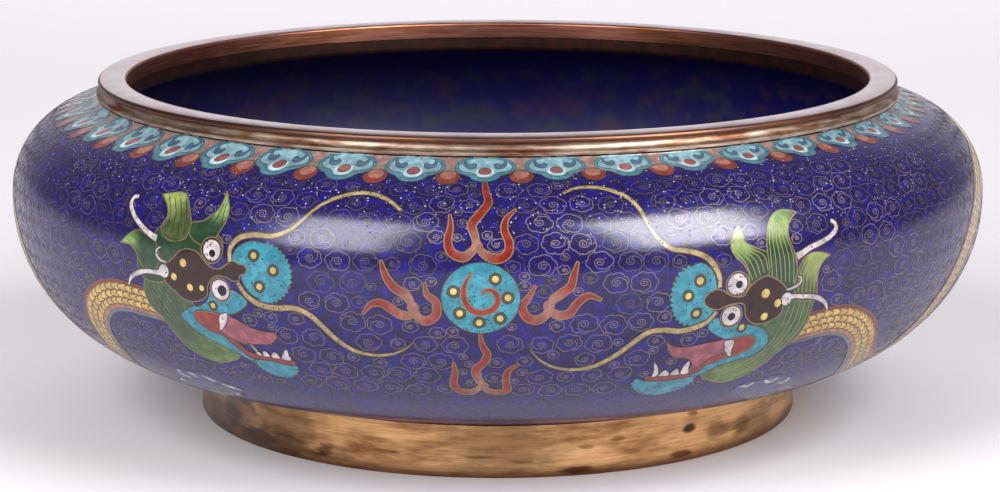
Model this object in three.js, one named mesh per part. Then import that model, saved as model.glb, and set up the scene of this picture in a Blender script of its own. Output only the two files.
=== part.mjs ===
// Cloisonne bowl: a low, squat copper bowl with enamel on both faces, on a gilt foot ring, with a gilt mouth rim.
// Millimetres, +Z up. The origin is the centre of the foot ring's underside, on the surface that the bowl stands on.
import * as THREE from "three";

// Foot ring, a strip of copper bent round and soldered under the bowl
const FOOT_RADIUS = 87.2; // outside, on the table
const FOOT_HEIGHT = 14.7;
const FOOT_TAPER = 0.8; // how far the outside leans in on its way up
const FOOT_WALL = 2.6;
const FOOT_EASE = 0.5; // the worn edges of its underside

// Bowl body, from the collar that the foot ring meets to the neck that the mouth rim sits on
const BODY_RADIUS = 140; // the widest ring
const WALL = 3; // copper with enamel on both faces
const COLLAR_HEIGHT = 1.9; // plain copper, between the foot ring and the enamel
const COLLAR_FLARE = 1.5;
const COLLAR_WIDTH = 3.2;
const BELLY_HEIGHT = 47.5; // from the floor's underside up to the widest ring
const BELLY_ROUNDNESS = 2.07; // the power of a superellipse: 2 is a plain ellipse
const SHOULDER_HEIGHT = 26.3; // from the widest ring up to the shoulder's top
const SHOULDER_ROUNDNESS = 2.28;
const NECK_HEIGHT = 1.65; // a short upward sweep under the mouth rim
const NECK_SWEEP = 4.2;
const LIP_ROUND = 1.6; // the inner edge of the enamelled mouth

// Mouth rim, a moulded ring of gilt copper
const MOUTH_RADIUS = 106.9; // inside
const RIM_WIDTH = 8.1; // from the inside to the outermost point of the lip
const RIM_HEIGHT = 4.9;
const LIP_HEIGHT = 1.9; // the rounded outer lip
const COVE_DEPTH = 1.9; // the hollow moulding under the lip
const FLANGE_REACH = 0.5; // how far the rim's foot stands out past the lip
const FLANGE_HEIGHT = 0.8;
const RIM_STEP = 0.3; // how far the rim stands proud of the enamel inside
const RIM_CROWN = 0.4; // how far the top falls from its middle to either edge
const RIM_EDGE = 0.8; // the rounded inner edge

const SEAT_GAP = 0.3; // between the rim, the body and the foot ring

const RING_SEGMENTS = 64;
const BELLY_STEPS = 11;
const SHOULDER_STEPS = 9;
const NECK_STEPS = 3;
const ROUND_STEPS = 3;

// Heights and radii that follow from the sizes above
const footTopRadius = FOOT_RADIUS - FOOT_TAPER;
const collarUnderside = FOOT_HEIGHT + SEAT_GAP;
const floorUnderside = collarUnderside + COLLAR_HEIGHT;
const widestHeight = floorUnderside + BELLY_HEIGHT;
const shoulderTop = widestHeight + SHOULDER_HEIGHT;
const seatHeight = shoulderTop + NECK_HEIGHT;
const enamelMouth = MOUTH_RADIUS + RIM_STEP;
const shoulderEnd = enamelMouth + LIP_ROUND;
const bellyEnd = footTopRadius - FOOT_WALL / 2;
const lipRadius = MOUTH_RADIUS + RIM_WIDTH;
const flangeRadius = lipRadius + FLANGE_REACH;

const point = (radius, height) => new THREE.Vector2(radius, height);

// A quarter of a superellipse from (endRadius, widest height + rise) to the widest ring. Rise is negative below the ring.
// inset moves it along its normal into the wall.
function quarterCurve(endRadius, rise, roundness, steps, inset = 0) {
  const points = [];
  for (let i = 0; i <= steps; i++) {
    const turn = ((1 - i / steps) * Math.PI) / 2;
    const across = Math.cos(turn);
    const up = Math.sin(turn);
    const radius = endRadius + (BODY_RADIUS - endRadius) * across ** (2 / roundness);
    const height = widestHeight + rise * up ** (2 / roundness);
    const normal = point(
      across ** (2 - 2 / roundness) / (BODY_RADIUS - endRadius),
      up ** (2 - 2 / roundness) / rise,
    ).normalize();
    points.push(point(radius - inset * normal.x, height - inset * normal.y));
  }
  return points;
}

// The points of an arc of a circle or an ellipse, without its first one
function arc(centreRadius, centreHeight, width, height, fromDegrees, toDegrees, steps) {
  const points = [];
  for (let i = 1; i <= steps; i++) {
    const angle = THREE.MathUtils.degToRad(THREE.MathUtils.lerp(fromDegrees, toDegrees, i / steps));
    points.push(point(centreRadius + width * Math.cos(angle), centreHeight + height * Math.sin(angle)));
  }
  return points;
}

// A solid of revolution about +Z. The profile runs anticlockwise round the solid: out, up and back in.
function turned(name, profile, material) {
  const geometry = new THREE.LatheGeometry(profile, RING_SEGMENTS).rotateX(Math.PI / 2);
  const mesh = new THREE.Mesh(geometry, material);
  mesh.name = name;
  return mesh;
}

function footRing(material) {
  const innerRadius = FOOT_RADIUS - FOOT_WALL;
  return turned("foot_ring", [
    point(innerRadius + FOOT_EASE, 0),
    point(FOOT_RADIUS - FOOT_EASE, 0),
    point(FOOT_RADIUS, FOOT_EASE),
    point(footTopRadius, FOOT_HEIGHT),
    point(footTopRadius - FOOT_WALL, FOOT_HEIGHT),
    point(innerRadius, FOOT_EASE),
    point(innerRadius + FOOT_EASE, 0),
  ], material);
}

// The outside of the wall, from the top of the collar to the mouth rim's seat
function outerWall() {
  const collarTop = footTopRadius + COLLAR_FLARE;
  const belly = quarterCurve(bellyEnd, -BELLY_HEIGHT, BELLY_ROUNDNESS, BELLY_STEPS)
    .filter((p) => p.x > collarTop);
  const sweepStart = flangeRadius + NECK_SWEEP;
  const shoulder = quarterCurve(shoulderEnd, SHOULDER_HEIGHT, SHOULDER_ROUNDNESS, SHOULDER_STEPS)
    .reverse()
    .slice(1)
    .filter((p) => p.x > sweepStart);
  const across = (sweepStart - shoulderEnd) / (BODY_RADIUS - shoulderEnd);
  const sweepHeight =
    widestHeight + SHOULDER_HEIGHT * (1 - across ** SHOULDER_ROUNDNESS) ** (1 / SHOULDER_ROUNDNESS);
  const sweep = new THREE.QuadraticBezierCurve(
    point(sweepStart, sweepHeight),
    point(flangeRadius, (sweepHeight + seatHeight) / 2),
    point(flangeRadius - SEAT_GAP, seatHeight),
  );
  return [...belly, ...shoulder, ...sweep.getPoints(NECK_STEPS)];
}

// The inside of the wall, from the enamelled mouth down to the floor, one wall thickness inside the outer curves
function innerWall() {
  const lip = arc(
    shoulderEnd, shoulderTop - WALL + LIP_ROUND, LIP_ROUND, LIP_ROUND, 180, 270, ROUND_STEPS,
  );
  const shoulder = quarterCurve(shoulderEnd, SHOULDER_HEIGHT, SHOULDER_ROUNDNESS, SHOULDER_STEPS, WALL);
  const belly = quarterCurve(bellyEnd, -BELLY_HEIGHT, BELLY_ROUNDNESS, BELLY_STEPS, WALL).reverse();
  return [point(enamelMouth, shoulderTop - WALL + LIP_ROUND), ...lip, ...shoulder.slice(1), ...belly.slice(1)];
}

function bowlBody(material) {
  return turned("bowl_body", [
    point(0, floorUnderside),
    point(footTopRadius - COLLAR_WIDTH, floorUnderside),
    point(footTopRadius - COLLAR_WIDTH, collarUnderside),
    point(footTopRadius, collarUnderside),
    point(footTopRadius + COLLAR_FLARE, floorUnderside + SEAT_GAP),
    ...outerWall(),
    point(enamelMouth, seatHeight),
    ...innerWall(),
    point(0, floorUnderside + WALL),
  ], material);
}

function mouthRim(material) {
  const seat = seatHeight + SEAT_GAP;
  const top = seat + RIM_HEIGHT;
  const lipRound = LIP_HEIGHT / 2;
  const lipCentre = top - RIM_CROWN - lipRound;
  const lip = arc(lipRadius - lipRound, lipCentre, lipRound, lipRound, -90, 60, ROUND_STEPS + 1);
  const coveTop = lipCentre - lipRound;
  const flangeTop = seat + FLANGE_HEIGHT;
  const cove = arc(flangeRadius, coveTop, COVE_DEPTH, coveTop - flangeTop, 270, 180, ROUND_STEPS);
  return turned("mouth_rim", [
    point(MOUTH_RADIUS, seat),
    point(flangeRadius, seat),
    point(flangeRadius, flangeTop),
    ...cove,
    ...lip,
    point(MOUTH_RADIUS + RIM_WIDTH / 2, top),
    point(MOUTH_RADIUS + RIM_EDGE, top - RIM_CROWN),
    point(MOUTH_RADIUS, top - RIM_CROWN - RIM_EDGE),
    point(MOUTH_RADIUS, seat),
  ], material);
}

const enamel = new THREE.MeshStandardMaterial({ color: 0x1c1a72, roughness: 0.2, metalness: 0 });
const giltCopper = new THREE.MeshStandardMaterial({ color: 0xa87848, roughness: 0.38, metalness: 1 });

const bowl = new THREE.Group();
bowl.add(footRing(giltCopper), bowlBody(enamel), mouthRim(giltCopper));

export default bowl;
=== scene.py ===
"""The looks of a cloisonne bowl: enamel cells and wires on copper, a gilt mouth rim and a gilt foot ring.

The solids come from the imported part. Lengths in the text below are millimetres, and meshes are in metres.
The figures are drawn flat, as on an unrolled wall: x runs round the widest ring from the front towards +X,
and s runs up the wall from the widest ring.
"""
import math
import random

import bpy
import numpy as np
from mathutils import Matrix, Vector
from mathutils.geometry import delaunay_2d_cdt
from mathutils.kdtree import KDTree


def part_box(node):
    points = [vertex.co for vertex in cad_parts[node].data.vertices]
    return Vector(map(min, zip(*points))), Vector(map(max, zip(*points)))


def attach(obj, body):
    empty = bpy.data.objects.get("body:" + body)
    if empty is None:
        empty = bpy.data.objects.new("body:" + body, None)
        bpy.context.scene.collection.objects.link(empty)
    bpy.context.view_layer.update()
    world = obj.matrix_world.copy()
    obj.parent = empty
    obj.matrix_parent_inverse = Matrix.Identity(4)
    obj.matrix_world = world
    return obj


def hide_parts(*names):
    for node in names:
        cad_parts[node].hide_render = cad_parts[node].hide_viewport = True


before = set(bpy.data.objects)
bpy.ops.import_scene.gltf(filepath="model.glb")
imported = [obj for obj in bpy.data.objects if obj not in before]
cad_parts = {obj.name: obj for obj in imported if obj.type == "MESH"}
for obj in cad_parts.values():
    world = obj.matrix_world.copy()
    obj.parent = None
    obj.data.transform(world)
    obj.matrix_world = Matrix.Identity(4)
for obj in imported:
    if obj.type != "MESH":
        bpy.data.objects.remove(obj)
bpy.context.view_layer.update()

bl_info = {
    "name": "Cloisonne Bowl",
    "version": (1, 0, 0),
    "blender": (4, 5, 0),
    "location": "View3D > Sidebar > Bowl",
    "description": "Makes a cloisonne bowl with two dragons and a pearl, and the studio that it stands in",
    "category": "Add Mesh",
}

BODY_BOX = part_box("bowl_body")
RIM_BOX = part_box("mouth_rim")
FOOT_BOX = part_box("foot_ring")

MM = 0.001
RING_STEPS = 256
SEAT_GAP = 0.3  # between the mouth rim's outermost line and the wall's end under it
DRAWN_RADIUS = 140  # the widest ring's radius, as the figures are drawn for it

# Heights over the solid's wall. The skin lies inside it, so that the cells and the wires can lie on the skin.
SKIN_LIFT = -0.14
CELL_LIFT = -0.085
SCROLL_LIFT = -0.09
WIRE_LIFT = -0.055

CELL_DEPTH = 0.2
CELL_GRID = 1.6  # distance of the points that let a cell follow the wall's curve
WIRE_WIDTH = 0.3
WIRE_DEPTH = 0.25
SCROLL_WIDTH = 0.22
SMOOTH_ANGLE = math.radians(40)


def hex_colour(text):
    """An sRGB hex value as the linear colour that Blender's sockets take."""
    channels = [int(text[i:i + 2], 16) / 255 for i in (1, 3, 5)]
    return tuple(c / 12.92 if c <= 0.04045 else ((c + 0.055) / 1.055) ** 2.4 for c in channels)


# The enamels: their colour, the colour that they fade to, and how large the pits of the firing are
ENAMELS = {
    "cobalt": ("#1a1068", None, 0.8),
    "inside": ("#150e4e", None, 0.5),
    "cyan": ("#388798", None, 0.95),
    "green": ("#24432b", "#87a661", 0.45),
    "olive": ("#46552f", "#93a35a", 0.45),
    "moss": ("#42583a", "#567639", 0.5),
    "maroon": ("#2f110f", None, 0.75),
    "yellow": ("#c6ad64", None, 0.4),
    "cream": ("#a39168", None, 0.9),
    "scale_yellow": ("#c9a55c", None, 0.4),
    "white": ("#c4bab9", None, 0.95),
    "red": ("#83261d", "#926557", 0.3),
    "salmon": ("#a06a5a", None, 0.4),
    "brick": ("#7f382d", None, 0.4),
    "rose": ("#957068", None, 0.4),
    "umber": ("#85736a", None, 0.5),
    "pink": ("#8f4f59", None, 0.6),
    "gum": ("#86362f", None, 0.3),
    "turquoise": ("#7ea2aa", None, 0.5),
    "teal": ("#4e7c88", None, 0.4),
    "slate": ("#46637a", None, 0.3),
    "pale_ring": ("#bdd3d6", None, 0.2),
    "plum": ("#96524e", None, 0.2),
    "paw": ("#3d3a6e", None, 0.4),
    "eye": ("#17100f", None, 0.0),
}


def size_property(default, title, text):
    return bpy.props.FloatProperty(name=title, description=text, default=default, min=0.0, unit="LENGTH")


def colour_property(key, colour, text):
    return bpy.props.FloatVectorProperty(
        name=key.replace("_", " ").capitalize(), description=text, default=hex_colour(colour), size=3,
        min=0.0, max=1.0, subtype="COLOR",
    )


class BowlSizes(bpy.types.PropertyGroup):
    body_radius: size_property(BODY_BOX[1].x, "Body radius", "Radius of the widest ring")
    seat_height: size_property(BODY_BOX[1].z, "Seat height", "Height of the seat under the mouth rim")
    collar_underside: size_property(BODY_BOX[0].z, "Collar underside", "Underside of the copper collar")
    collar_height: size_property(1.9 * MM, "Collar height", "Plain copper under the enamel")
    collar_width: size_property(3.2 * MM, "Collar width", "Width of the collar's underside")
    collar_flare: size_property(1.5 * MM, "Collar flare", "How far the collar leans out on its way up")
    wall: size_property(3.0 * MM, "Wall", "Copper with enamel on both faces")
    shoulder_height: size_property(26.3 * MM, "Shoulder height", "From the widest ring to the shoulder's top")
    neck_height: size_property(1.65 * MM, "Neck height", "The upward sweep under the mouth rim")
    neck_sweep: size_property(4.2 * MM, "Neck sweep", "Width of the sweep under the mouth rim")
    lip_round: size_property(1.6 * MM, "Enamel lip", "Rounding of the enamelled mouth's inner edge")
    mouth_radius: size_property(106.9 * MM, "Mouth radius", "Inside of the mouth rim")
    rim_step: size_property(0.3 * MM, "Rim step", "How far the rim stands proud of the enamel inside")
    rim_bottom: size_property(RIM_BOX[0].z, "Rim bottom", "Height of the mouth rim's underside")
    rim_top: size_property(RIM_BOX[1].z, "Rim top", "Height of the mouth rim's crown")
    rim_width: size_property(8.1 * MM, "Rim width", "From the inside to the outermost point of the lip")
    rim_radius: size_property(RIM_BOX[1].x, "Rim radius", "Outermost radius of the mouth rim")
    lip_height: size_property(1.9 * MM, "Lip height", "Height of the rim's rounded lip")
    cove_depth: size_property(1.9 * MM, "Cove depth", "The hollow moulding under the lip")
    flange_height: size_property(0.8 * MM, "Flange height", "Height of the rim's foot")
    rim_crown: size_property(0.4 * MM, "Rim crown", "Fall of the rim's top towards its edges")
    rim_edge: size_property(0.8 * MM, "Rim edge", "Rounding of the rim's inner edge")
    foot_radius: size_property(FOOT_BOX[1].x, "Foot radius", "Outside of the foot ring at the table")
    foot_height: size_property(FOOT_BOX[1].z, "Foot height", "Height of the foot ring")
    foot_taper: size_property(0.8 * MM, "Foot taper", "How far the foot ring leans in on its way up")
    foot_wall: size_property(2.6 * MM, "Foot wall", "Thickness of the foot ring")
    scroll_pitch: size_property(7.3 * MM, "Scroll pitch", "Distance of the cloud scrolls round the wall")
    scroll_row: size_property(5.25 * MM, "Scroll row", "Distance of the rows of cloud scrolls")
    belly_roundness: bpy.props.FloatProperty(
        name="Belly roundness", description="Power of the belly's curve. 2 is an ellipse", default=2.07
    )
    shoulder_roundness: bpy.props.FloatProperty(
        name="Shoulder roundness", description="Power of the shoulder's curve", default=2.28
    )


# Every other colour, and what it is
COLOURS = {
    "gilt": ("#f3c188", "Gilding of the foot ring, where it has kept its colour"),
    "grey_gilt": ("#7d6f66", "Grey gilding at the foot ring's left end"),
    # Its pale grey is partly painted reflection of the pale studio on the gilding
    "pale_gilt": ("#d0c0b0", "Thin, cold gilding on the rim's mouldings"),
    "copper": ("#8e5a38", "Copper where the gilding has worn through"),
    "red_copper": ("#6d4d44", "The rim's lip, worn down to bare copper"),
    "mouth_copper": ("#a87060", "The rim's inner face, bare copper"),
    # The rim top's two pale pink-white colours are painted reflection of the pale studio on the rubbed copper
    "rubbed_copper": ("#eddfe2", "The rim's top, rubbed smooth"),
    "dull_copper": ("#d3bfba", "Duller patches of the rim's top"),
    "tarnish": ("#2a160f", "Dark stains on the copper"),
    "red_tarnish": ("#3d1c12", "Redder tarnish under the rim"),
    "low_tarnish": ("#4a1d18", "Dark red line along the foot ring's lower edge"),
    "olive_cloud": ("#2c303a", "Olive-grey clouds in the bowl's inside"),
    "brown_cloud": ("#3c2439", "Brown clouds in the bowl's inside"),
    "wire": ("#7c6844", "Wires round the flames and the dragons"),
    # The dull colour is partly painted shade, given to most scroll wires high on the wall
    "scroll": ("#4d434b", "Dull wires of the cloud scrolls"),
    "bright_scroll": ("#695d67", "Wires of the cloud scrolls that still shine"),
    "net": ("#5c4428", "Thin wires between the dragons' scales"),
    "pale": ("#8f8a58", "Wires that have kept their gilding"),
    "grey": ("#3b5f6c", "Thin dark wires of the collar's heads"),
    # Nearly black: partly the dark gaps beside the wires, partly painted shade of wires that mirror the dark room
    "dark": ("#3a251b", "Wires that have tarnished nearly black"),
    "floor": ("#ece8ec", "Paper sweep that the bowl stands on"),
}


class BowlColours(bpy.types.PropertyGroup):
    __annotations__ = {
        **{key: colour_property(key, colour, f"The {key} enamel") for key, (colour, _, _) in ENAMELS.items()},
        **{key: colour_property(key, *colour) for key, colour in COLOURS.items()},
    }


# Flat drawing

def line_normals(line):
    """Unit normals to the left of a line's points."""
    along = np.gradient(line, axis=0)
    along /= np.maximum(np.linalg.norm(along, axis=1), 1e-9)[:, None]
    return np.stack([-along[:, 1], along[:, 0]], axis=1)


def spline(points, closed, step):
    """Points every step mm or so on a smooth curve through points."""
    p = np.array(points, float)
    if len(p) < 3 and not closed:
        count = max(2, math.ceil(np.linalg.norm(p[-1] - p[0]) / step) + 1)
        return p[0] + (p[-1] - p[0]) * np.linspace(0, 1, count)[:, None]
    if closed:
        p = np.vstack([p[-1], p, p[0], p[1]])
    else:
        p = np.vstack([2 * p[0] - p[1], p, 2 * p[-1] - p[-2]])
    knots = np.concatenate([[0], np.cumsum(np.sqrt(np.linalg.norm(np.diff(p, axis=0), axis=1)))])
    found = []
    for i in range(1, len(p) - 2):
        count = max(1, math.ceil(np.linalg.norm(p[i + 1] - p[i]) / step))
        t = (knots[i] + (knots[i + 1] - knots[i]) * np.arange(count) / count)[:, None]
        k = knots[i - 1:i + 3]
        a = [(k[j + 1] - t) / (k[j + 1] - k[j]) * p[i - 1 + j] + (t - k[j]) / (k[j + 1] - k[j]) * p[i + j]
             for j in range(3)]
        b = [(k[j + 2] - t) / (k[j + 2] - k[j]) * a[j] + (t - k[j]) / (k[j + 2] - k[j]) * a[j + 1]
             for j in range(2)]
        found.append((k[2] - t) / (k[2] - k[1]) * b[0] + (t - k[1]) / (k[2] - k[1]) * b[1])
    if not closed:
        found.append(p[-2:-1])
    return np.vstack(found)


def smooth(points, closed=True, step=0.7):
    """A smooth line through points. A point that is given twice is a corner."""
    points = [tuple(map(float, p)) for p in points]
    corners = [i for i in range(len(points) - 1) if points[i] == points[i + 1]]
    if not corners:
        return spline(points, closed, step)
    if closed:
        first = corners[0] + 1
        points = points[first:] + points[:first]
    runs, run = [], [points[0]]
    for before, here in zip(points, points[1:]):
        if here == before:
            runs.append(run)
            run = [here]
        else:
            run.append(here)
    runs.append(run)
    lines = [spline(run, False, step) for run in runs if len(run) > 1]
    return np.vstack([line[:-1] for line in lines] + ([] if closed else [lines[-1][-1:]]))


def band(points, widths, step=0.7):
    """The outline of a stroke along a smooth line, with its width at even steps from start to end."""
    middle = smooth(points, closed=False, step=step)
    share = np.linspace(0, 1, len(middle))
    half = np.interp(share, np.linspace(0, 1, len(widths)), widths)[:, None] / 2
    side = line_normals(middle) * half
    return np.vstack([middle - side, (middle + side)[::-1]])


def polygon(points):
    """An outline with a corner at each point."""
    return smooth([point for point in points for _ in (0, 1)])


def disc(x, s, width, height=None, steps=20):
    """The outline of an ellipse, or of a circle where no height is given."""
    angles = np.linspace(0, math.tau, steps, endpoint=False)
    return np.stack([np.cos(angles) * width / 2, np.sin(angles) * (height or width) / 2], axis=1) + (x, s)


def scallops(points, pitch, depth):
    """A smooth line with round teeth of one pitch and depth on its right-hand side."""
    line = smooth(points, closed=False, step=0.2)
    length = np.concatenate([[0], np.cumsum(np.linalg.norm(np.diff(line, axis=0), axis=1))])
    count = max(1, round(length[-1] / pitch))
    lift = depth * np.abs(np.sin(math.pi * count * length / length[-1])) ** 0.7
    return line - line_normals(line) * lift[:, None]


def inside(points, outline):
    """Which points lie inside a closed outline."""
    x, s = points[:, 0][:, None], points[:, 1][:, None]
    x0, s0 = outline.T
    x1, s1 = np.roll(outline, -1, axis=0).T
    crosses = (s0 > s) != (s1 > s)
    rise = np.where(s1 == s0, 1e-12, s1 - s0)
    return (crosses & (x < (x1 - x0) * (s - s0) / rise + x0)).sum(axis=1) % 2 == 1


class Drawing:
    """Enamel cells and wires of one figure, drawn flat. What is drawn later lies on what is drawn before."""

    def __init__(self):
        self.cells = []
        self.wires = []

    def cell(self, outline, enamel, wire="wire", fade=None):
        """Adds a cell. Fade is (x, s, near, far): the second colour within near of a point, else the first."""
        outline = np.array(outline, float)
        x, s = outline.T
        if np.sum(x * np.roll(s, -1) - np.roll(x, -1) * s) < 0:
            outline = outline[::-1]
        self.cells.append((outline, enamel, fade))
        if wire:
            self.wire(np.vstack([outline, outline[:1]]), wire)

    def wire(self, line, metal="wire", width=WIRE_WIDTH):
        self.wires.append((np.array(line, float), metal, width, len(self.cells)))

    def outlines(self):
        return [outline for outline, enamel, _ in self.cells if enamel]


# The wall, and laying drawings on it

class Wall:
    """The outside of the bowl's wall, from the collar's top to the mouth rim's seat."""

    def __init__(self, sizes):
        mm = {key: getattr(sizes, key) / MM for key in BowlSizes.__annotations__ if "roundness" not in key}
        self.radius = mm["body_radius"]
        foot_top = mm["foot_radius"] - mm["foot_taper"]
        self.floor_underside = mm["collar_underside"] + mm["collar_height"]
        shoulder_top = mm["seat_height"] - mm["neck_height"]
        self.widest = shoulder_top - mm["shoulder_height"]
        self.collar_top = foot_top + mm["collar_flare"]
        belly_end = foot_top - mm["foot_wall"] / 2
        self.belly = (belly_end, self.floor_underside - self.widest, sizes.belly_roundness)
        shoulder_end = mm["mouth_radius"] + mm["rim_step"] + mm["lip_round"]
        self.shoulder = (shoulder_end, mm["shoulder_height"], sizes.shoulder_roundness)
        belly = self.quarter(*self.belly)[::-1]
        belly = belly[belly[:, 0] > self.collar_top]
        shoulder = self.quarter(*self.shoulder)
        sweep_start = mm["rim_radius"] + mm["neck_sweep"]
        shoulder = shoulder[shoulder[:, 0] > sweep_start]
        start, end = shoulder[-1], np.array([mm["rim_radius"] - SEAT_GAP, mm["seat_height"]])
        control = np.array([mm["rim_radius"], (start[1] + end[1]) / 2])
        t = np.linspace(0, 1, 60)[1:, None]
        sweep = start * (1 - t) ** 2 + 2 * control * t * (1 - t) + end * t ** 2
        line = np.vstack([belly, shoulder[1:], sweep])
        along = np.concatenate([[0], np.cumsum(np.linalg.norm(np.diff(line, axis=0), axis=1))])
        along -= along[len(belly) - 1]
        self.s = np.arange(along[0], along[-1], 0.25)
        self.line = np.stack([np.interp(self.s, along, line[:, i]) for i in (0, 1)], axis=1)
        self.out = -line_normals(self.line)
        self.low, self.high = self.s[0], self.s[-1]

    def quarter(self, end_radius, rise, roundness, steps=500):
        """A quarter of a superellipse, from the widest ring to (end radius, widest height + rise)."""
        turn = np.linspace(0, math.pi / 2, steps)
        radius = end_radius + (self.radius - end_radius) * np.cos(turn).clip(0, 1) ** (2 / roundness)
        return np.stack([radius, self.widest + rise * np.sin(turn) ** (2 / roundness)], axis=1)

    def profile(self, s, lift):
        """Radius and height at s, lift mm out from the solid's wall."""
        line = np.stack([np.interp(s, self.s, self.line[:, i]) for i in (0, 1)], axis=-1)
        out = np.stack([np.interp(s, self.s, self.out[:, i]) for i in (0, 1)], axis=-1)
        return line + out * np.asarray(lift)[..., None]

    def place(self, flat, lift):
        """Where flat points lie on the wall, in metres."""
        radius, height = self.profile(flat[:, 1], lift).T
        angle = flat[:, 0] / self.radius
        return np.stack([radius * np.sin(angle), -radius * np.cos(angle), height], axis=1) * MM


def dress(mesh, materials, face_materials=None):
    """Gives a mesh its materials, and each of its faces the place of its own among them."""
    for material in materials:
        mesh.materials.append(material)
    if face_materials is not None:
        mesh.polygons.foreach_set("material_index", face_materials)


def new_piece(name, points, faces, materials, face_materials=None):
    """A mesh piece from its points and faces, that rides on the bowl."""
    mesh = bpy.data.meshes.new(name)
    mesh.from_pydata(points, [], faces)
    dress(mesh, materials, face_materials)
    piece = bpy.data.objects.new(name, mesh)
    bpy.context.scene.collection.objects.link(piece)
    take(piece)
    return piece


def take(piece):
    """Selects one piece alone, for the operators that follow."""
    bpy.ops.object.select_all(action="DESELECT")
    piece.select_set(True)
    bpy.context.view_layer.objects.active = piece


def cut_cells(drawing, grid_step):
    """Cuts a drawing into triangles along its cells' edges. Gives points, triangles and each one's cell."""
    points, faces = [], []
    for outline, _, _ in drawing.cells:
        gap = np.linalg.norm(outline - np.roll(outline, 1, axis=0), axis=1)
        outline = outline[gap > 0.02]
        faces.append(list(range(len(points), len(points) + len(outline))))
        points.extend(outline.tolist())
    low, high = np.min(points, axis=0), np.max(points, axis=0)
    columns, rows = np.arange(low[0], high[0], grid_step), np.arange(low[1], high[1], grid_step * 0.87)
    across, up = np.meshgrid(columns, rows)
    across[1::2] += grid_step / 2
    grid = np.stack([across.ravel(), up.ravel()], axis=1)
    used = np.zeros(len(grid), bool)
    for outline in drawing.outlines():
        used |= inside(grid, outline)
    points.extend(grid[used].tolist())
    flat, _, cut, _, _, sources = delaunay_2d_cdt([Vector(p) for p in points], [], faces, 1, 1e-5, True)
    shown = [(triangle, max(source)) for triangle, source in zip(cut, sources) if source]
    return np.array([tuple(p) for p in flat]), *zip(*shown)


def lay_cells(name, drawing, wall, copies=(0.0,), bend=None, grid_step=CELL_GRID):
    """Lays a drawing's cells on the wall as one thin closed plate, once for each copy's x."""
    flat, triangles, cells = cut_cells(drawing, grid_step)
    keep = [i for i, cell in enumerate(cells) if drawing.cells[cell][1]]
    triangles = np.array([triangles[i] for i in keep])
    cells = np.array([cells[i] for i in keep])
    used, triangles = np.unique(triangles, return_inverse=True)
    flat, triangles = flat[used], triangles.reshape(-1, 3)
    enamels = sorted({drawing.cells[cell][1] for cell in cells})
    index = np.array([enamels.index(enamel) if enamel else 0 for _, enamel, _ in drawing.cells])
    fade = np.zeros((len(triangles), 3))
    for cell, (_, _, spot) in enumerate(drawing.cells):
        if spot:
            x, s, near, far = spot
            mine = cells == cell
            distance = np.hypot(*(flat[triangles[mine]] - (x, s)).transpose(2, 0, 1))
            fade[mine] = np.clip((far - distance) / (far - near), 0, 1)
    placed = [flat + (shift, 0) for shift in copies]
    if bend:
        placed = [bend(points) for points in placed]
    points = wall.place(np.vstack(placed), CELL_LIFT)
    faces = np.vstack([triangles + i * len(flat) for i in range(len(copies))])
    piece = new_piece(
        name, points.tolist(), faces.tolist(),
        [enamel_material(enamel) for enamel in enamels], np.tile(index[cells], len(copies)),
    )
    attribute = piece.data.attributes.new("fade", "FLOAT", "CORNER")
    attribute.data.foreach_set("value", np.tile(fade.ravel(), len(copies)))
    bpy.ops.object.modifier_add(type="SOLIDIFY")
    solidify = piece.modifiers[-1]
    solidify.thickness = CELL_DEPTH * MM
    solidify.offset = -1
    bpy.ops.object.modifier_apply(modifier=solidify.name)
    bpy.ops.object.shade_smooth_by_angle(angle=SMOOTH_ANGLE)
    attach(piece, "root")
    return piece


def visible_runs(drawing):
    """The stretches of each wire that no later cell covers, with its metal and width."""
    found = []
    for line, metal, width, order in drawing.wires:
        line = spline(line, False, 0.4)
        shown = np.ones(len(line), bool)
        for outline, _, _ in drawing.cells[order:]:
            near = ((line > outline.min(axis=0)) & (line < outline.max(axis=0))).all(axis=1)
            if near.any():
                shown[near] &= ~inside(line[near], outline)
        start = 0
        while start < len(line):
            if not shown[start]:
                start += 1
                continue
            end = start
            while end + 1 < len(line) and shown[end + 1]:
                end += 1
            if end - start > 1:
                found.append((line[start:end + 1], metal, width))
            start = end + 1
    return found


def lay_wires(name, runs, wall, lift, metal, copies=(0.0,), bend=None):
    """Lays wires on the wall: bars with a flat top and a sharp underside sunk in the enamel."""
    points, lifts, faces = [], [], []
    start = 0
    for line, width in runs:
        side = line_normals(line) * width / 2
        for shift in copies:
            points.append(np.stack([line - side, line + side, line], axis=1).reshape(-1, 2) + (shift, 0))
            lifts.append(np.tile([lift, lift, lift - WIRE_DEPTH], len(line)))
            first = start + 3 * np.arange(len(line) - 1)
            right, left, under = first, first + 1, first + 2
            faces.append(np.stack([right, right + 3, left + 3, left], axis=1))
            faces.append(np.stack([left, left + 3, under + 3, under], axis=1))
            faces.append(np.stack([under, under + 3, right + 3, right], axis=1))
            end = start + 3 * (len(line) - 1)
            faces.append(np.array([[start, start + 1, start + 2, -1], [end + 2, end + 1, end, -1]]))
            start += 3 * len(line)
    flat = np.vstack(points)
    if bend:
        flat = bend(flat)
    faces = [[corner for corner in face if corner >= 0] for face in np.vstack(faces).tolist()]
    piece = new_piece(
        name, wall.place(flat, np.concatenate(lifts)).tolist(), faces, [wire_material(metal)]
    )
    bpy.ops.object.shade_smooth_by_angle(angle=SMOOTH_ANGLE)
    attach(piece, "root")
    return piece


def lay_drawing(name, drawing, wall, copies=(0.0,), bend=None, grid_step=CELL_GRID):
    """Lays the cells of a drawing and then its wires, one piece for each metal."""
    lay_cells(name, drawing, wall, copies, bend, grid_step)
    runs = visible_runs(drawing)
    for metal in sorted({metal for _, metal, _ in runs}):
        mine = [(line, width) for line, m, width in runs if m == metal]
        lay_wires(f"{name}_{metal}", mine, wall, WIRE_LIFT, metal, copies, bend)


# The figures

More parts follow.
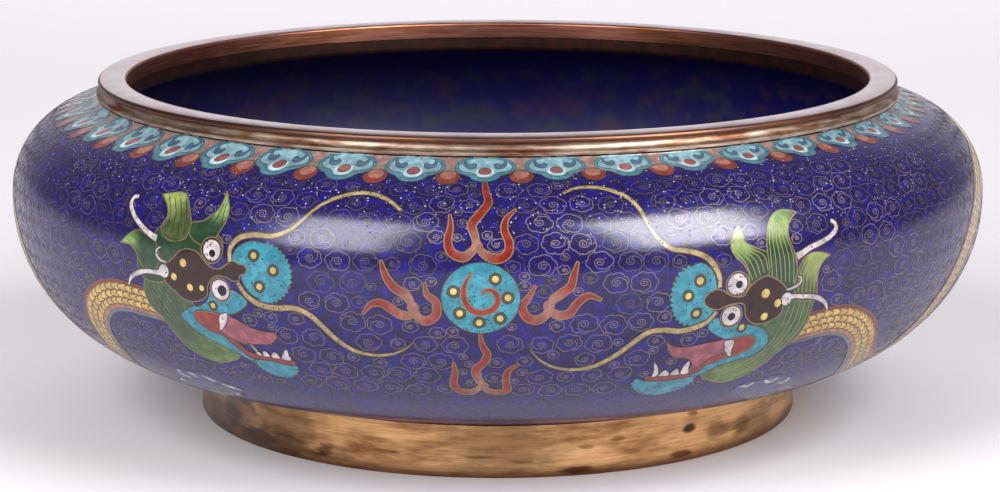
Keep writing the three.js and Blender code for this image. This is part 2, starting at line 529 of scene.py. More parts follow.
PEARL = (-4.1, -3.0)
FLAMES = {  # each tongue starts at the salmon fork and ends in its tip
    "top": [
        [(-5, 10), (-8.3, 7.4), (-11.3, 8.5), (-12.3, 11), (-11.8, 15), (-12.2, 18.3)],
        [(-5, 10), (-5.6, 12.5), (-6.4, 15.5), (-4.5, 18.5), (-2.4, 22), (-3, 25.5), (-3.4, 29),
         (-3.5, 33)],
        [(-5, 10), (-3, 8), (0, 7), (2.5, 8.3), (2.9, 11), (1.8, 14), (2.2, 17), (4.7, 19.8)],
    ],
    "bottom": [
        [(-3.8, -29.5), (-7.5, -32.3), (-10.5, -31.5), (-11.7, -29), (-11.1, -25), (-11.2, -21.2)],
        [(-3.8, -29.5), (-5.3, -26), (-5.5, -23.5), (-3.5, -21), (-2.6, -18.5), (-3.8, -15.5),
         (-4.3, -12.3)],
        [(-3.8, -29.5), (-2.6, -31.4), (0, -32.3), (2.5, -31.3), (2.3, -28), (2.8, -24), (5.4, -21.6)],
    ],
    "left": [
        [(-20.9, -5.6), (-22.4, -2.6), (-25.5, -0.6), (-27.5, 2), (-29, 6)],
        [(-20.9, -5.6), (-21.8, -7.6), (-24, -7.6), (-26.5, -6), (-29, -4.7), (-31.5, -5.2), (-33.7, -7.8)],
        [(-20.9, -5.6), (-19.5, -8.3), (-17.5, -9), (-15.1, -7.2), (-15.2, -4), (-17.4, -2), (-17.9, 0.8)],
    ],
    "right": [
        [(12.7, -5), (12.2, -7), (9.8, -8.6), (7.3, -7.8), (6.2, -5), (7.8, -2.5), (9.3, 0.3)],
        [(12.7, -5), (13.7, -3.4), (15.5, -2), (18.1, 0.1), (18.8, 2.5), (19.9, 6)],
        [(12.7, -5), (13.6, -6.6), (15.5, -7.5), (17.8, -7), (19.5, -4.7), (22.5, -2.6), (25.8, -3.8)],
    ],
}


def draw_flames(drawing, tongues, width=2.0):
    base = tongues[0][0]
    for tongue in tongues:
        drawing.cell(
            band(tongue, [width * 0.8, width * 1.15, width * 1.05, width * 0.85, width * 0.3]), "red",
            fade=(*base, 2.2, 6.5),
        )
    drawing.cell(disc(*base, width * 1.5), "red", wire=None, fade=(*base, 2.2, 6.5))


def draw_bead(drawing, x, s, radius, ring=0.5):
    """A yellow bead in a ring of dark wire."""
    if ring:
        drawing.cell(disc(x, s, 2 * (radius + ring)), "moss", wire="dark")
    drawing.cell(disc(x, s, 2 * radius, steps=16), "yellow", wire="dark")


def draw_pearl():
    drawing = Drawing()
    for tongues in FLAMES.values():
        draw_flames(drawing, tongues)
    under_collar = [(-8, 29.85), (1, 29.85), (1, 34), (-8, 34)]
    drawing.cell(polygon(under_collar), None, wire=None)
    drawing.cell(disc(*PEARL, 19.6, 18.4, steps=72), "cyan", wire="dark")
    comma = [(-6.2, 3.6), (-8, 0.5), (-8.2, -2.8), (-6.4, -5.9), (-3.2, -6.5), (-0.6, -5.2), (0.1, -2.7),
             (-1.3, -0.9), (-3.2, -1.0), (-3.6, -2.0)]
    drawing.cell(band(comma, [0.3, 1.4, 1.5, 1.5, 1.4, 0.5], step=0.5), "red")
    for x, s in [(-10.8, -1.2), (-9.3, -6.8), (-4.5, -9.2), (0.7, -8.1), (2.6, -2.7), (-0.5, 2)]:
        draw_bead(drawing, x, s, 1.0)
    return drawing


COLLAR_HEADS = 42
COLLAR_PHASE = -3.6  # where the first head's middle lies
COLLAR_LEAN = 2.6  # the most by which a head's lower end is shifted down or up


def draw_collar_head():
    """One head of the ruyi collar under the mouth rim, with the petal on its right."""
    def both_sides(half):
        return smooth(half + [(-x, s) for x, s in half[-2:0:-1]], step=0.6)
    pitch = math.tau * DRAWN_RADIUS / COLLAR_HEADS
    outer = [(0, 29.9), (2.1, 30.2), (3.7, 31.3), (4.8, 32.7), (6.6, 33.6), (8.2, 35), (9, 36.7),
             (8.7, 38.4), (7.7, 39.6), (5.3, 40.4), (0, 40.6)]
    head = [(0, 31.6), (2.0, 32.1), (3.0, 33.5), (4.2, 34.5), (5.6, 34.8), (7.1, 35.6), (8.0, 36.8),
            (7.8, 38.2), (6.8, 39.3), (4.6, 40.1), (2.5, 40.5), (0, 40.6)]
    petal = pitch / 2
    drawing = Drawing()
    strip = [(-petal, 34.6), (petal, 34.6), (petal, 40.7), (-petal, 40.7)]
    drawing.cell(polygon(strip), "umber", wire=None)
    for side in (-1, 1):
        drawing.cell(disc(side * petal, 39.2, 3.4, 2.2, steps=20), "rose", wire=None)
    drawing.cell(disc(petal, 32.2, 6.8, 6.6, steps=30), "brick", wire="net")
    drawing.cell(disc(petal, 33.3, 4.6, 4.2, steps=24), "salmon", wire=None)
    drawing.cell(both_sides(outer), "teal", wire="grey")
    drawing.cell(both_sides(outer) + (pitch, 0), None, wire=None)
    drawing.cell(both_sides(head), "turquoise", wire="grey")
    for side in (-1, 1):
        curl = [(side * x, s) for x, s in ((5.9, 40.2), (6.0, 38.9), (5.1, 37.6), (3.7, 37.5), (3.0, 38.6))]
        drawing.cell(band(curl, [0.5, 0.8, 1.4, 2.1, 1.0], step=0.5), "slate", wire="grey")
    drawing.cell(disc(0, 34.6, 5.4, 5.0, steps=26), "pale_ring", wire=None)
    drawing.cell(disc(0, 35.2, 3.7, 3.6, steps=22), "plum", wire="grey")
    return drawing


def lean(flat):
    """The collar was laid by eye: its heads are longer on the left of the front and shorter on its right. The
    shift grows from nothing under the rim to the whole at the heads' lower ends."""
    share = ((40.4 - flat[:, 1]) / 7.4).clip(0, 1)
    shift = COLLAR_LEAN * np.tanh(1.6 * np.sin(flat[:, 0] / DRAWN_RADIUS)) * share
    return flat + np.stack([np.zeros(len(flat)), shift], axis=1)


# Outlines of the dragons' heads. Both heads have the same pieces in the same order.
LEFT_HEAD = {
    "mane": [(-98.5, -5), (-99.5, -9), (-98, -13), (-94.3, -16), (-93, -19), (-90, -23.8), (-86, -26.8),
             (-81, -28.3), (-76.5, -27.3), (-72, -24.8), (-72, -20), (-80, -13), (-84, -8), (-90, -3),
             (-97, -3)],
    "crown": [(-94, 8.5), (-90, 9.5), (-86, 10.5), (-83, 11), (-79, 10.3), (-75.5, 9.3), (-73.2, 8.3),
              (-72.3, 5.5), (-75, 2), (-82, 0), (-88, -3), (-93, -5.5), (-99, -5), (-101, -2),
              (-100.5, 0.5),
              (-97, 2), (-95.5, 5)],
    "tufts": [
        [(-107.7, 3), (-107.7, 3), (-104, 6), (-101, 7.2), (-98, 6.3), (-94.5, 5), (-93, 0), (-97, -3.5),
         (-100.4, -0.5), (-101.7, 1.5), (-103.8, 3)],
        [(-83.3, 8.5), (-83, 11.2), (-80, 12), (-77.5, 13.8), (-75.8, 16), (-75.5, 18.5), (-75.9, 21.3),
         (-75.9, 21.3), (-74.1, 18.7), (-72.7, 16), (-72.5, 13), (-73.5, 10.5), (-75, 8), (-79, 6)],
        [(-93, 8.5), (-91.8, 12), (-92.8, 14.5), (-94.8, 16.3), (-96.3, 17.6), (-96.3, 17.6), (-92, 18.7),
         (-89.5, 19), (-87, 17.5), (-85, 14.5), (-83.3, 11), (-84.5, 7), (-90, 6)],
    ],
    "tips": [(-107, 3.5), (-75, 18.5), (-92.5, 17.5)],
    "mane_end": (-79, -27),
    "vein_wire": "dark",
    "veins": [  # pairs of guide lines, with the number of veins from the first to the second
        ([(-93.6, 17.2), (-91, 13), (-91.2, 7.5)], [(-87.6, 17.4), (-85.4, 13), (-85, 7.5)], 4),
        ([(-105, 4.2), (-102, 2.6), (-98.5, 0)], [(-101, 6.2), (-97, 5.2), (-94.5, 2)], 3),
        ([(-75.7, 17), (-77.2, 13.5), (-81, 9.5)], [(-74.1, 17.4), (-74, 12.5), (-76, 8.5)], 3),
        ([(-93, 4), (-91, 1.5), (-88.5, 2.6)], [(-92, 7.5), (-87, 6), (-80, 6)], 3),
        ([(-97.3, -7), (-95.3, -12), (-91, -18), (-86.5, -23.5), (-80, -26.5)],
         [(-91, -6), (-87, -11), (-84, -18), (-79, -22.4), (-74, -24.2)], 6),
    ],
    "jaw": [(-70.5, -4.2), (-68, -5), (-65.2, -7.5), (-67, -9.5), (-69.5, -11), (-72, -11.6), (-75, -11.5),
            (-79, -11.4), (-82.4, -12), (-83, -13.5), (-81.8, -15.5), (-79, -17.2), (-75.5, -18),
            (-72, -19.3),
            (-70, -21), (-68.4, -23.3), (-67, -26.5), (-69, -25.6), (-72, -23.8), (-77, -21.4), (-80, -20),
            (-83.5, -18.5), (-85.7, -16.5), (-87.6, -14), (-85.5, -12), (-83, -10.7), (-80, -10),
            (-77.5, -8),
            (-76, -5), (-73, -3.5)],
    "mouth": [(-82.3, -12.3), (-79, -11.6), (-75, -11.7), (-71.5, -11.8), (-70, -14), (-71, -18.5),
              (-75.5, -18), (-79, -17.1), (-81.6, -15.4), (-82.8, -13.5)],
    "tongue": [(-73.2, -11.8), (-70, -12.4), (-67.5, -13.5), (-65, -14.6), (-62, -15.2), (-58.4, -15.4),
               (-58, -16.4), (-59.2, -18), (-61, -19.2), (-64.5, -19.5), (-68, -20.1), (-72, -19),
               (-74.8, -17.6), (-75, -14.5)],
    "gum": [(-75, -17.6), (-70.5, -20), (-68.3, -22.3), (-66, -23), (-60, -23.4), (-55.2, -23.8),
            (-54.6, -25), (-57, -25.8), (-61, -25), (-65, -24.8), (-68.4, -24.6), (-71.5, -21.6)],
    "chin": [(-68.2, -25.6), (-65, -24.8), (-61, -25), (-57, -25.8), (-53.6, -25.4)],
    "chin_edge": [(-53.6, -25.4), (-53.9, -27.5), (-55.6, -30), (-58.5, -31.6), (-62, -31.6),
                  (-65.4, -30.2), (-67.4, -28.4), (-68.2, -25.6)],
    "nose": [(-60, 8.2), (-63.5, 8.6), (-66.5, 7.6), (-68.8, 5.5), (-69.3, 3), (-67, 0), (-66.4, -2),
             (-64.6, -4.6), (-61.5, -6.6)],
    "nose_edge": [(-61.5, -6.6), (-59, -6.7), (-56, -5.4), (-53.7, -3), (-52.7, 0), (-53.2, 3),
                  (-54.7, 5.4), (-57, 7.1), (-60, 8.2)],
    "brow": [(-91, -0.7), (-88, 1.6), (-86, 3.6), (-83.3, 4.5), (-80, 3.9), (-78, 2.2), (-76.5, 1),
             (-73.5, 0.4), (-71, 1.8), (-69, 2.9), (-67.3, 2.3), (-66, 2.3), (-65, 1.2), (-65.5, 0),
             (-67, -0.6), (-67.2, -1.8), (-69, -2.2), (-71.5, -1.4), (-74.5, -1.6), (-76.8, -4),
             (-77.5, -7), (-80, -8.7), (-83, -9.3), (-86, -8.7), (-88, -7.2), (-90.4, -5.6), (-91.8, -3)],
    "eyes": [(-75.6, 5, 2.8, -75.4, 4.2, 1.0, 1.0), (-73.1, -5, 2.8, -72.6, -5.1, 1.4, 0.6)],
    "beads": [(-63, 4.9, 1.0, 0.5), (-57.4, 1.6, 1.0, 0.5), (-61.4, -2.9, 1.0, 0.5), (-84.7, 0.7, 1.2, 0),
              (-88, -3.3, 1.1, 0), (-82.8, -5.5, 1.1, 0), (-79, -5.2, 0.9, 0), (-76, -9.6, 0.9, 0.4)],
    "pits": [(-80.6, -1.4, 0.8)],
    "upper_whisker": [(-69.9, 2.6), (-70, 6), (-67.8, 8.8), (-64, 10), (-58, 10.3), (-54, 12), (-51, 14.7),
                      (-48, 18.3), (-44, 21.5), (-39, 23.7), (-34.5, 24.1), (-30, 22.7), (-27, 20.8),
                      (-24.8, 18.9)],
    "lower_whisker": [(-67.8, -2.4), (-65.3, -5.6), (-61.5, -7.7), (-57, -8.1), (-52, -7.7), (-48, -9.1),
                      (-44.5, -12.3), (-41, -15.9), (-37, -18.6), (-32, -19.7), (-27, -19), (-23.5, -17.3),
                      (-21.1, -15.1)],
    "horn": [(-94, 5.8), (-97, 6.8), (-101, 8.8), (-104.5, 11.3), (-106.4, 13.8), (-105.8, 15.6),
    (-104.5, 15.6)],
    "low_horn": [(-91.3, -2.4), (-94, -3), (-98, -3.2), (-101.5, -4.3), (-104, -5.8), (-105.4, -8)],
    "low_horn_root": (-91.4, -2.3, 1.7),
    "ear": [(-90.5, 0.2), (-92.5, 0.5), (-93.9, 1.8), (-93.6, 3.2), (-92.4, 3.9)],
    "fang": [(-72, -11.2), (-74.2, -11.8), (-75.1, -13.4), (-75.2, -15), (-75.7, -17.3), (-75.7, -17.3),
             (-73.6, -15.3), (-72.3, -13.4)],
    "teeth": [
        [(-67.9, -19.4), (-67.9, -19.4), (-66.3, -20.2), (-65.2, -21.6), (-64.3, -23.2), (-65.6, -23.2),
         (-66.4, -21.2)],
        [(-64, -23.3), (-63.9, -22.2), (-63.1, -21.4), (-62.2, -22.3), (-61.9, -23.4)],
        [(-61.4, -23.5), (-61.2, -22.2), (-60, -21.5), (-59.2, -22.3), (-58.9, -23.6)],
        [(-56.1, -19.8), (-56.1, -19.8), (-57.4, -21.2), (-58.5, -23.6), (-55.8, -23.9), (-55.9, -21.7)],
    ],
}
RIGHT_HEAD = {
    "mane": [(77, -8.5), (86.2, -8), (86.2, -12), (85.3, -17), (83.2, -21), (79, -24.5), (76.5, -28),
             (73, -31.3), (68, -33.9), (63, -33.4), (58.5, -31), (56.5, -29), (60, -23), (68, -14)],
    "crown": [(65, -4), (65.4, 0), (67.5, 1.8), (71.3, 4.6), (79, 4.2), (80, 0), (80.3, -5), (77, -8),
    (70, -5)],
    "tufts": [
        [(63.2, 12.5), (63.2, 12.5), (61, 9.6), (60.3, 7), (61.4, 4.7), (63.5, 2.8), (65, 0.5), (66, -3),
         (72, -2.5), (73, 2), (71, 4.9), (69, 5.8), (66.5, 7), (64.4, 8.3), (64, 10.4)],
        [(81.9, 14.1), (81.9, 14.1), (79.7, 15), (76.2, 15.2), (73, 13.2), (71.2, 9.6), (70.8, 5),
         (71.3, 0), (70, -3), (78.5, -5.5), (80, -1.5), (79.3, 3), (78.3, 6.3), (77.7, 8.6), (78.1, 10.8),
         (79.6, 12.7)],
        [(91, 2.1), (91, 2.1), (88.2, 3), (84.6, 3.3), (82, 2), (80.2, -1), (79.2, -5), (82, -9),
         (86.9, -8.5), (86.8, -4), (87.3, -1), (89, 1)],
    ],
    "tips": [(62.5, 9.5), (75, 12.8), (88, 1.2)],
    "mane_end": (67, -32),
    "vein_wire": "pale",
    "veins": [
        ([(72.6, 12), (71.7, 8), (71.8, 3), (72.4, -2.5)], [(78, 13.2), (77, 9), (78.6, 3), (79, -4)], 6),
        ([(61.9, 9.5), (61.5, 6.5), (64, 3.2), (66.5, -2)], [(63.4, 9.6), (64.8, 7), (69.5, 4.4),
        (71, 0)], 5),
        ([(82.6, 1.5), (80.9, -2), (80.8, -7)], [(88, 2), (86.2, -1), (86, -7.5)], 5),
        ([(78.5, -10), (77, -16), (73.5, -23.5), (67, -27), (60, -29)],
         [(85.2, -9.5), (84.4, -16), (80.4, -22.5), (74, -29.4), (64, -32.6)], 5),
    ],
    "jaw": [(55.2, -11.4), (57.2, -10.6), (58.6, -13), (61, -13.9), (64, -13), (67.5, -14), (71, -15.3),
            (73.8, -18), (74.6, -20), (73, -22.6), (70.5, -24.3), (66, -25.2), (62, -26.3), (59, -27.6),
            (56, -29.4), (53.4, -30.6), (53.3, -29), (55.4, -27.8), (56.8, -26), (60, -24.7), (64, -23.6),
            (68, -22.2), (70.2, -20), (69.4, -17.8), (67.3, -17), (64, -17.2), (61, -17.5), (59, -16.8),
            (56.5, -15.2), (54.6, -13.4)],
    "mouth": [(63.4, -17.4), (67.3, -17.2), (69.4, -18), (70, -20), (68, -22), (64, -23.4), (60, -24.6),
              (57, -26.6), (54.6, -28.4), (52.6, -28.4), (53, -25), (56, -22), (61, -18)],
    "tongue": [(43.6, -16.1), (43.6, -16.1), (45.5, -17.8), (48, -18.5), (52, -18.4), (57, -17.8),
               (61.5, -17.7), (62.2, -20), (60.6, -22.2), (57.5, -23.2), (55.2, -25.6), (53, -26.6),
               (52.6, -24.6), (50.5, -22.5), (46.8, -21.8), (44.8, -19.6)],
    "gum": [(40.1, -28.2), (44, -28), (49, -28), (53.4, -28.2), (53.2, -29.6), (47, -30.2), (41, -29.7)],
    "chin": [(54.4, -29.6), (50, -30.2), (45, -30.3), (40.6, -29.8), (37.9, -28.6)],
    "chin_edge": [(37.9, -28.6), (37.4, -31.2), (40, -34.2), (44, -36.1), (48.4, -35.9), (52.2, -34.3),
                  (54.5, -31.9), (54.4, -29.6)],
    "nose": [(51.5, -12), (54, -10.9), (55.8, -9), (56.4, -5.6), (56.2, -2), (55.6, 0.5), (54, 2.9),
             (51.8, 4.1), (49, 3.4)],
    "nose_edge": [(49, 3.4), (46.3, 1.8), (44.7, -1), (44.2, -5), (45.2, -8.8), (47.6, -11.3), (51.5, -12)],
    "brow": [(52.8, -5.5), (54, -4), (56, -3.1), (58, -3.6), (60, -5), (64, -5.6), (65.2, -3.9), (67.5, -2),
             (70.5, -1), (73.5, -2.2), (76.5, -4.6), (77.6, -7), (76.4, -9.5), (76.1, -11.6), (74, -13.2),
             (70, -14), (67, -13.1), (65.2, -11), (64.2, -7.8), (61, -7.4), (59, -7.8), (57, -8.5),
             (55, -8.1),
             (53.4, -7)],
    "eyes": [(62, -2.3, 2.9, 62.5, -2.4, 1.0, 0.7), (61, -10.7, 2.8, 61.1, -10.9, 1.1, 0.6)],
    "beads": [(51.5, -0.5, 1.1, 0.5), (48.4, -4.2, 1.0, 0.5), (50.9, -9, 1.0, 0.5), (70.5, -5.6, 1.35, 0),
              (74.6, -8.7, 1.2, 0), (71, -12, 1.2, 0), (64.7, -14.4, 1.0, 0.4)],
    "pits": [(66.7, -8.5, 0.9), (66.4, -6.2, 0.7)],
    "upper_whisker": [(57, -2.8), (56.8, 0), (54.7, 4), (52, 6), (48, 7.3), (44, 8.1), (40.6, 11),
                      (38.5, 15), (37, 19.3), (34.5, 22.9), (30, 25.7), (25.5, 26.9), (21, 26.5),
                      (17.6, 24.9)],
    "lower_whisker": [(56.6, -9), (54.4, -11.5), (51, -13), (47, -13.6), (42, -12.9), (38.3, -13.4),
                      (35, -15.8), (31, -19.3), (25.5, -22.8), (20, -23.9), (14.5, -22.7), (11, -20.4),
                      (8.3, -17.1)],
    "horn": [(79.8, 2.9), (81.5, 3.5), (84, 4.6), (88, 5.6), (91.5, 6.8), (93.8, 8.6), (93.6, 10),
    (92.4, 10.7)],
    "low_horn": [(77, -7.8), (79.5, -7.4), (82.5, -7.9), (86, -8.4), (88.6, -9.4), (91, -11.2),
    (92.1, -13.4)],
    "low_horn_root": (77.2, -7.9, 1.7),
    "ear": [(76.8, -5.4), (79.3, -5), (81.2, -4), (81.4, -2.8), (80.3, -2.2)],
    "fang": [(60.6, -18.1), (63.4, -18.1), (63.5, -21), (63.9, -23.8), (63.9, -23.8), (62, -22.4),
    (60.9, -20.2)],
    "teeth": [
        [(41.2, -22.2), (41.2, -22.2), (42.9, -24.6), (43.6, -27.4), (43, -28.3), (42, -28.4),
         (41.9, -25.6)],
        [(43.6, -28.2), (44.2, -26.9), (45.3, -26), (46.5, -27), (46.9, -28.2)],
        [(47.1, -28.2), (47.6, -26.6), (48.6, -25.8), (49.5, -27), (49.8, -28.2)],
        [(51.4, -23.3), (51.4, -23.3), (50.3, -25), (50.2, -28.2), (52.6, -28.1), (52.1, -26), (52, -24.2)],
    ],
}


def draw_head(drawing, head):
    """Draws a dragon's head from the pieces of its outline."""
    drawing.cell(smooth(head["mane"]), "moss", fade=(*head["mane_end"], 5, 12))
    drawing.cell(smooth(head["crown"]), "green")
    for tuft, tip, enamel in zip(head["tufts"], head["tips"], ("green", "green", "olive")):
        drawing.cell(smooth(tuft), enamel, fade=(*tip, 3, 7))
    for first, last, count in head["veins"]:
        first, last = (smooth(line, closed=False, step=0.05)[::12] for line in (first, last))
        size = min(len(first), len(last))
        first, last = (line[np.linspace(0, len(line) - 1, size).astype(int)] for line in (first, last))
        for share in np.linspace(0, 1, count):
            drawing.wire(first + (last - first) * share, head["vein_wire"], 0.2)
    drawing.cell(smooth(head["mouth"]), "gum")
    drawing.cell(smooth(head["jaw"]), "cyan", wire="dark")
    drawing.cell(smooth(head["tongue"]), "pink", wire="dark")
    chin = np.vstack([smooth(head["chin"], closed=False)[:-1], scallops(head["chin_edge"], 1.35, 0.9)[:-1]])
    drawing.cell(chin, "cyan", wire="dark")
    drawing.cell(smooth(head["gum"]), "gum", wire="dark")
    for tooth in head["teeth"] + [head["fang"]]:
        drawing.cell(smooth(tooth, step=0.5), "white", wire="dark")
    nose = np.vstack([smooth(head["nose"], closed=False)[:-1], scallops(head["nose_edge"], 1.35, 0.8)[:-1]])
    drawing.cell(nose, "cyan", wire="dark")
    for x, s, radius, *_, ring in head["eyes"]:
        drawing.cell(disc(x, s, 2 * radius + ring, steps=30), "maroon")
    drawing.cell(smooth(head["brow"]), "maroon")
    for x, s, radius, pupil_x, pupil_s, pupil, _ in head["eyes"]:
        drawing.cell(disc(x, s, 2 * radius, steps=28), "white", wire="dark")
        drawing.cell(disc(pupil_x, pupil_s, 2 * pupil, steps=16), "eye", wire=None)
    drawing.cell(band(head["upper_whisker"], [1.3, 1.7, 1.5, 1.2, 1.0, 1.4, 1.6, 1.4, 1.0]), "cream", "dark")
    drawing.cell(band(head["lower_whisker"], [1.2, 1.7, 1.7, 1.6, 1.6, 1.5, 1.2, 0.9, 0.4]), "cream", "dark")
    drawing.cell(band(head["ear"], [0.7, 0.9, 0.9, 0.6], step=0.5), "white", wire="dark")
    drawing.cell(band(head["low_horn"], [2.2, 1.3, 1.4, 1.5, 1.3, 0.7]), "white", wire="dark")
    x, s, radius = head["low_horn_root"]
    drawing.cell(disc(x, s, 2 * radius), "white", wire=None)
    drawing.cell(band(head["horn"], [2.1, 1.7, 1.6, 1.5, 1.5, 1.2]), "white", wire="dark")
    for x, s, radius, ring in head["beads"]:
        draw_bead(drawing, x, s, radius, ring)
    for x, s, radius in head["pits"]:
        drawing.cell(disc(x, s, 2 * radius, steps=12), "eye", wire=None)


# The dragons' bodies: the line from neck to tail, and the width along it
LEFT_BODY = [(-94, -12.6), (-98, -12.3), (-104, -12), (-110, -11.9), (-115.5, -12.9), (-121, -15.6),
             (-126, -19.8), (-129.5, -26), (-132, -34), (-138, -42), (-149, -45), (-160, -41), (-168, -31),
             (-176, -18), (-187, -6), (-201, 1), (-216, 0), (-228, -9), (-238, -21), (-251, -29),
             (-266, -27), (-278, -16), (-290, -5), (-305, 1), (-320, -4), (-332, -14), (-346, -20),
             (-361, -15), (-374, -6), (-388, -2), (-402, -6)]
RIGHT_BODY = [(81, -17.4), (85, -17.6), (90, -17), (95.5, -16.9), (101.5, -18), (108, -21.2), (113.5, -26),
              (118.5, -32.5), (125, -40), (134, -45), (144, -43), (151, -34), (156.5, -25), (163, -15.5),
              (170, -6.5), (178, 1.5), (188, 8), (201, 10), (214, 5), (224, -6), (234, -18), (247, -26),
              (261, -25), (273, -15), (285, -4), (300, 2), (315, -2), (328, -12), (342, -18), (357, -14),
              (371, -5), (385, -1), (400, -5)]
BODY_STRIPES = [  # the edges of each stripe along a body, as shares of its width from its middle
    (-0.5, -0.41, "teal"), (-0.41, -0.27, "salmon"), (-0.27, 0.4, "scale_yellow"), (0.4, 0.5, "red"),
]
SCALE_ROWS = 3
SCALE_PITCH = 2.7
SCALE_REACH = 2.3
BODY_WIDTHS = [8.5, 9.5, 12, 13.5, 13.5, 13, 13, 13, 12.5, 12, 11, 10, 9, 7.5, 6, 4.5, 3]
LEFT_LEGS = [
    [(-140, -42), (-133, -52), (-120, -58), (-106, -57), (-98, -50)],
    [(-196, 2), (-203, 12), (-214, 18), (-224, 19)],
    [(-256, -26), (-250, -36), (-240, -42), (-231, -42)],
]
RIGHT_LEGS = [
    [(128, -42), (123, -52), (112, -58), (100, -57), (91, -51)],
    [(196, 11), (206, 18), (217, 21), (227, 19)],
    [(252, -25), (258, -36), (268, -42), (278, -42)],
]


def draw_body(drawing, points, side):
    """A dragon's body from neck to tail. Side is 1 where its back is left of its line, and -1 right of it."""
    middle = smooth(points, closed=False, step=1.0)
    normals = line_normals(middle) * side
    length = np.concatenate([[0], np.cumsum(np.linalg.norm(np.diff(middle, axis=0), axis=1))])
    widths = np.interp(length / length[-1], np.linspace(0, 1, len(BODY_WIDTHS)), BODY_WIDTHS)

    def edge(share):
        return middle + normals * (widths * share)[:, None]

    tail = middle[-1]
    for turn, reach in ((-38, 17), (-14, 22), (10, 21), (34, 16)):
        away = math.radians(turn) + math.atan2(*(tail - middle[-4])[::-1])
        ahead = np.array([math.cos(away), math.sin(away)])
        across = np.array([-ahead[1], ahead[0]])
        tuft = [tail, tail + ahead * reach * 0.4 + across * 2, tail + ahead * reach * 0.75 + across * 0.5,
                tail + ahead * reach + across * 3]
        drawing.cell(band(tuft, [3.4, 4.2, 3.2, 0.2]), "green", fade=(*tuft[-1], 4, 12))
    for low, high, enamel in BODY_STRIPES:
        drawing.cell(np.vstack([edge(low), edge(high)[::-1]]), enamel, wire="net")
    scales_low, scales_high, _ = BODY_STRIPES[2]
    row_width = (scales_high - scales_low) / SCALE_ROWS
    for row in range(SCALE_ROWS):
        for i in range(int(length[-1] / SCALE_PITCH)):
            start = (i + 0.5 * (row % 2) + 0.2) * SCALE_PITCH
            t = np.linspace(0, math.pi, 8)
            along = start + SCALE_REACH * np.sin(t)
            share = scales_low + row * row_width + row_width * (0.5 - 0.5 * np.cos(t))
            at = np.stack([np.interp(along, length, middle[:, k]) for k in (0, 1)], axis=1)
            normal = np.stack([np.interp(along, length, normals[:, k]) for k in (0, 1)], axis=1)
            drawing.wire(at + normal * (np.interp(along, length, widths) * share)[:, None], "net", 0.4)


def draw_leg(drawing, points):
    """A leg with a teal paw and four white claws."""
    middle = smooth(points, closed=False, step=1.0)
    drawing.cell(band(points, [9, 7.5, 6, 5]), "scale_yellow", wire="dark")
    for share in np.linspace(0.15, 0.85, 6):
        at = middle[int(share * (len(middle) - 1))]
        tick = [at + (-1.4, -1.4), at + (0.6, 0), at + (-1.4, 1.4)]
        drawing.wire(smooth(tick, closed=False, step=0.5), "dark", 0.4)
    paw = np.array(points[-1], float)
    facing = math.copysign(1, points[-1][0] - points[-2][0])
    for reach in ((-10.5, 5.5), (-3.5, 6.5), (4.5, 6), (11, 3)):
        tip = paw + reach
        claw = [tip + (-0.6, -0.4), tip + (1.2 * facing, 0.9), tip + (3.2 * facing, 0.6)]
        drawing.cell(band([paw, paw + np.array(reach) * 0.55, tip], [3.4, 3, 2.4]), "teal")
        drawing.cell(band(claw, [2.0, 1.7, 0.2], step=0.5), "white", wire="dark")
    drawing.cell(disc(*paw, 8.5, 6), "teal")


FRONT_PAWS = {  # the paw's outline, then the middle lines of its claws
    -1: ([(-104.5, -37), (-98, -35.8), (-91, -36), (-84.5, -39), (-80.5, -42), (-84, -45), (-94, -46.5),
          (-104, -45.5)], [[(-102.4, -36.6), (-103.2, -38.8), (-102, -39.9),
          (-100, -40.5)], [(-98.6, -37.2), (-97, -37.8), (-96.2, -39.4)], [(-92.6, -37), (-90.8, -38.3),
          (-89, -39.6)], [(-87.4, -40.1), (-85.3, -41.1), (-81.6, -42.3)]]),
    1: ([(71.5, -38.5), (75, -36), (80, -36.2), (83.5, -34.8), (89, -36), (93.8, -38.6), (99, -43),
         (99.5, -47), (92, -47.5), (81, -46), (74, -43.5)], [[(73.2, -38.7), (74.8, -38), (76.3, -38.5),
         (78, -36.8)], [(81.4, -36.5), (84.4, -38.3), (86.6, -36.4)], [(89.6, -40.5), (92.2, -40.1),
         (92, -38)], [(95, -46.4), (97.6, -46.6), (98.4, -44.4)]]),
}


def draw_front_paw(drawing, side):
    """The paw under each dragon's chin, half out of sight, with its claws."""
    outline, claws = FRONT_PAWS[side]
    drawing.cell(smooth(outline), "paw", wire=None)
    for claw in claws:
        for shift in (1.3, 2.6):
            drawing.wire(smooth([(x, s - shift) for x, s in claw], closed=False, step=0.5), "grey", 0.2)
    for claw in claws:
        drawing.cell(band(claw, [0.5, 1.2, 1.5, 0.5], step=0.5), "white", wire=None)


def draw_dragon(side):
    """The left dragon for side -1, and the right one for side 1."""
    body, legs, head = (LEFT_BODY, LEFT_LEGS, LEFT_HEAD) if side < 0 else (RIGHT_BODY, RIGHT_LEGS, RIGHT_HEAD)
    drawing = Drawing()
    for leg in legs:
        draw_leg(drawing, leg)
    draw_body(drawing, body, side)
    draw_front_paw(drawing, side)
    draw_head(drawing, head)
    return drawing


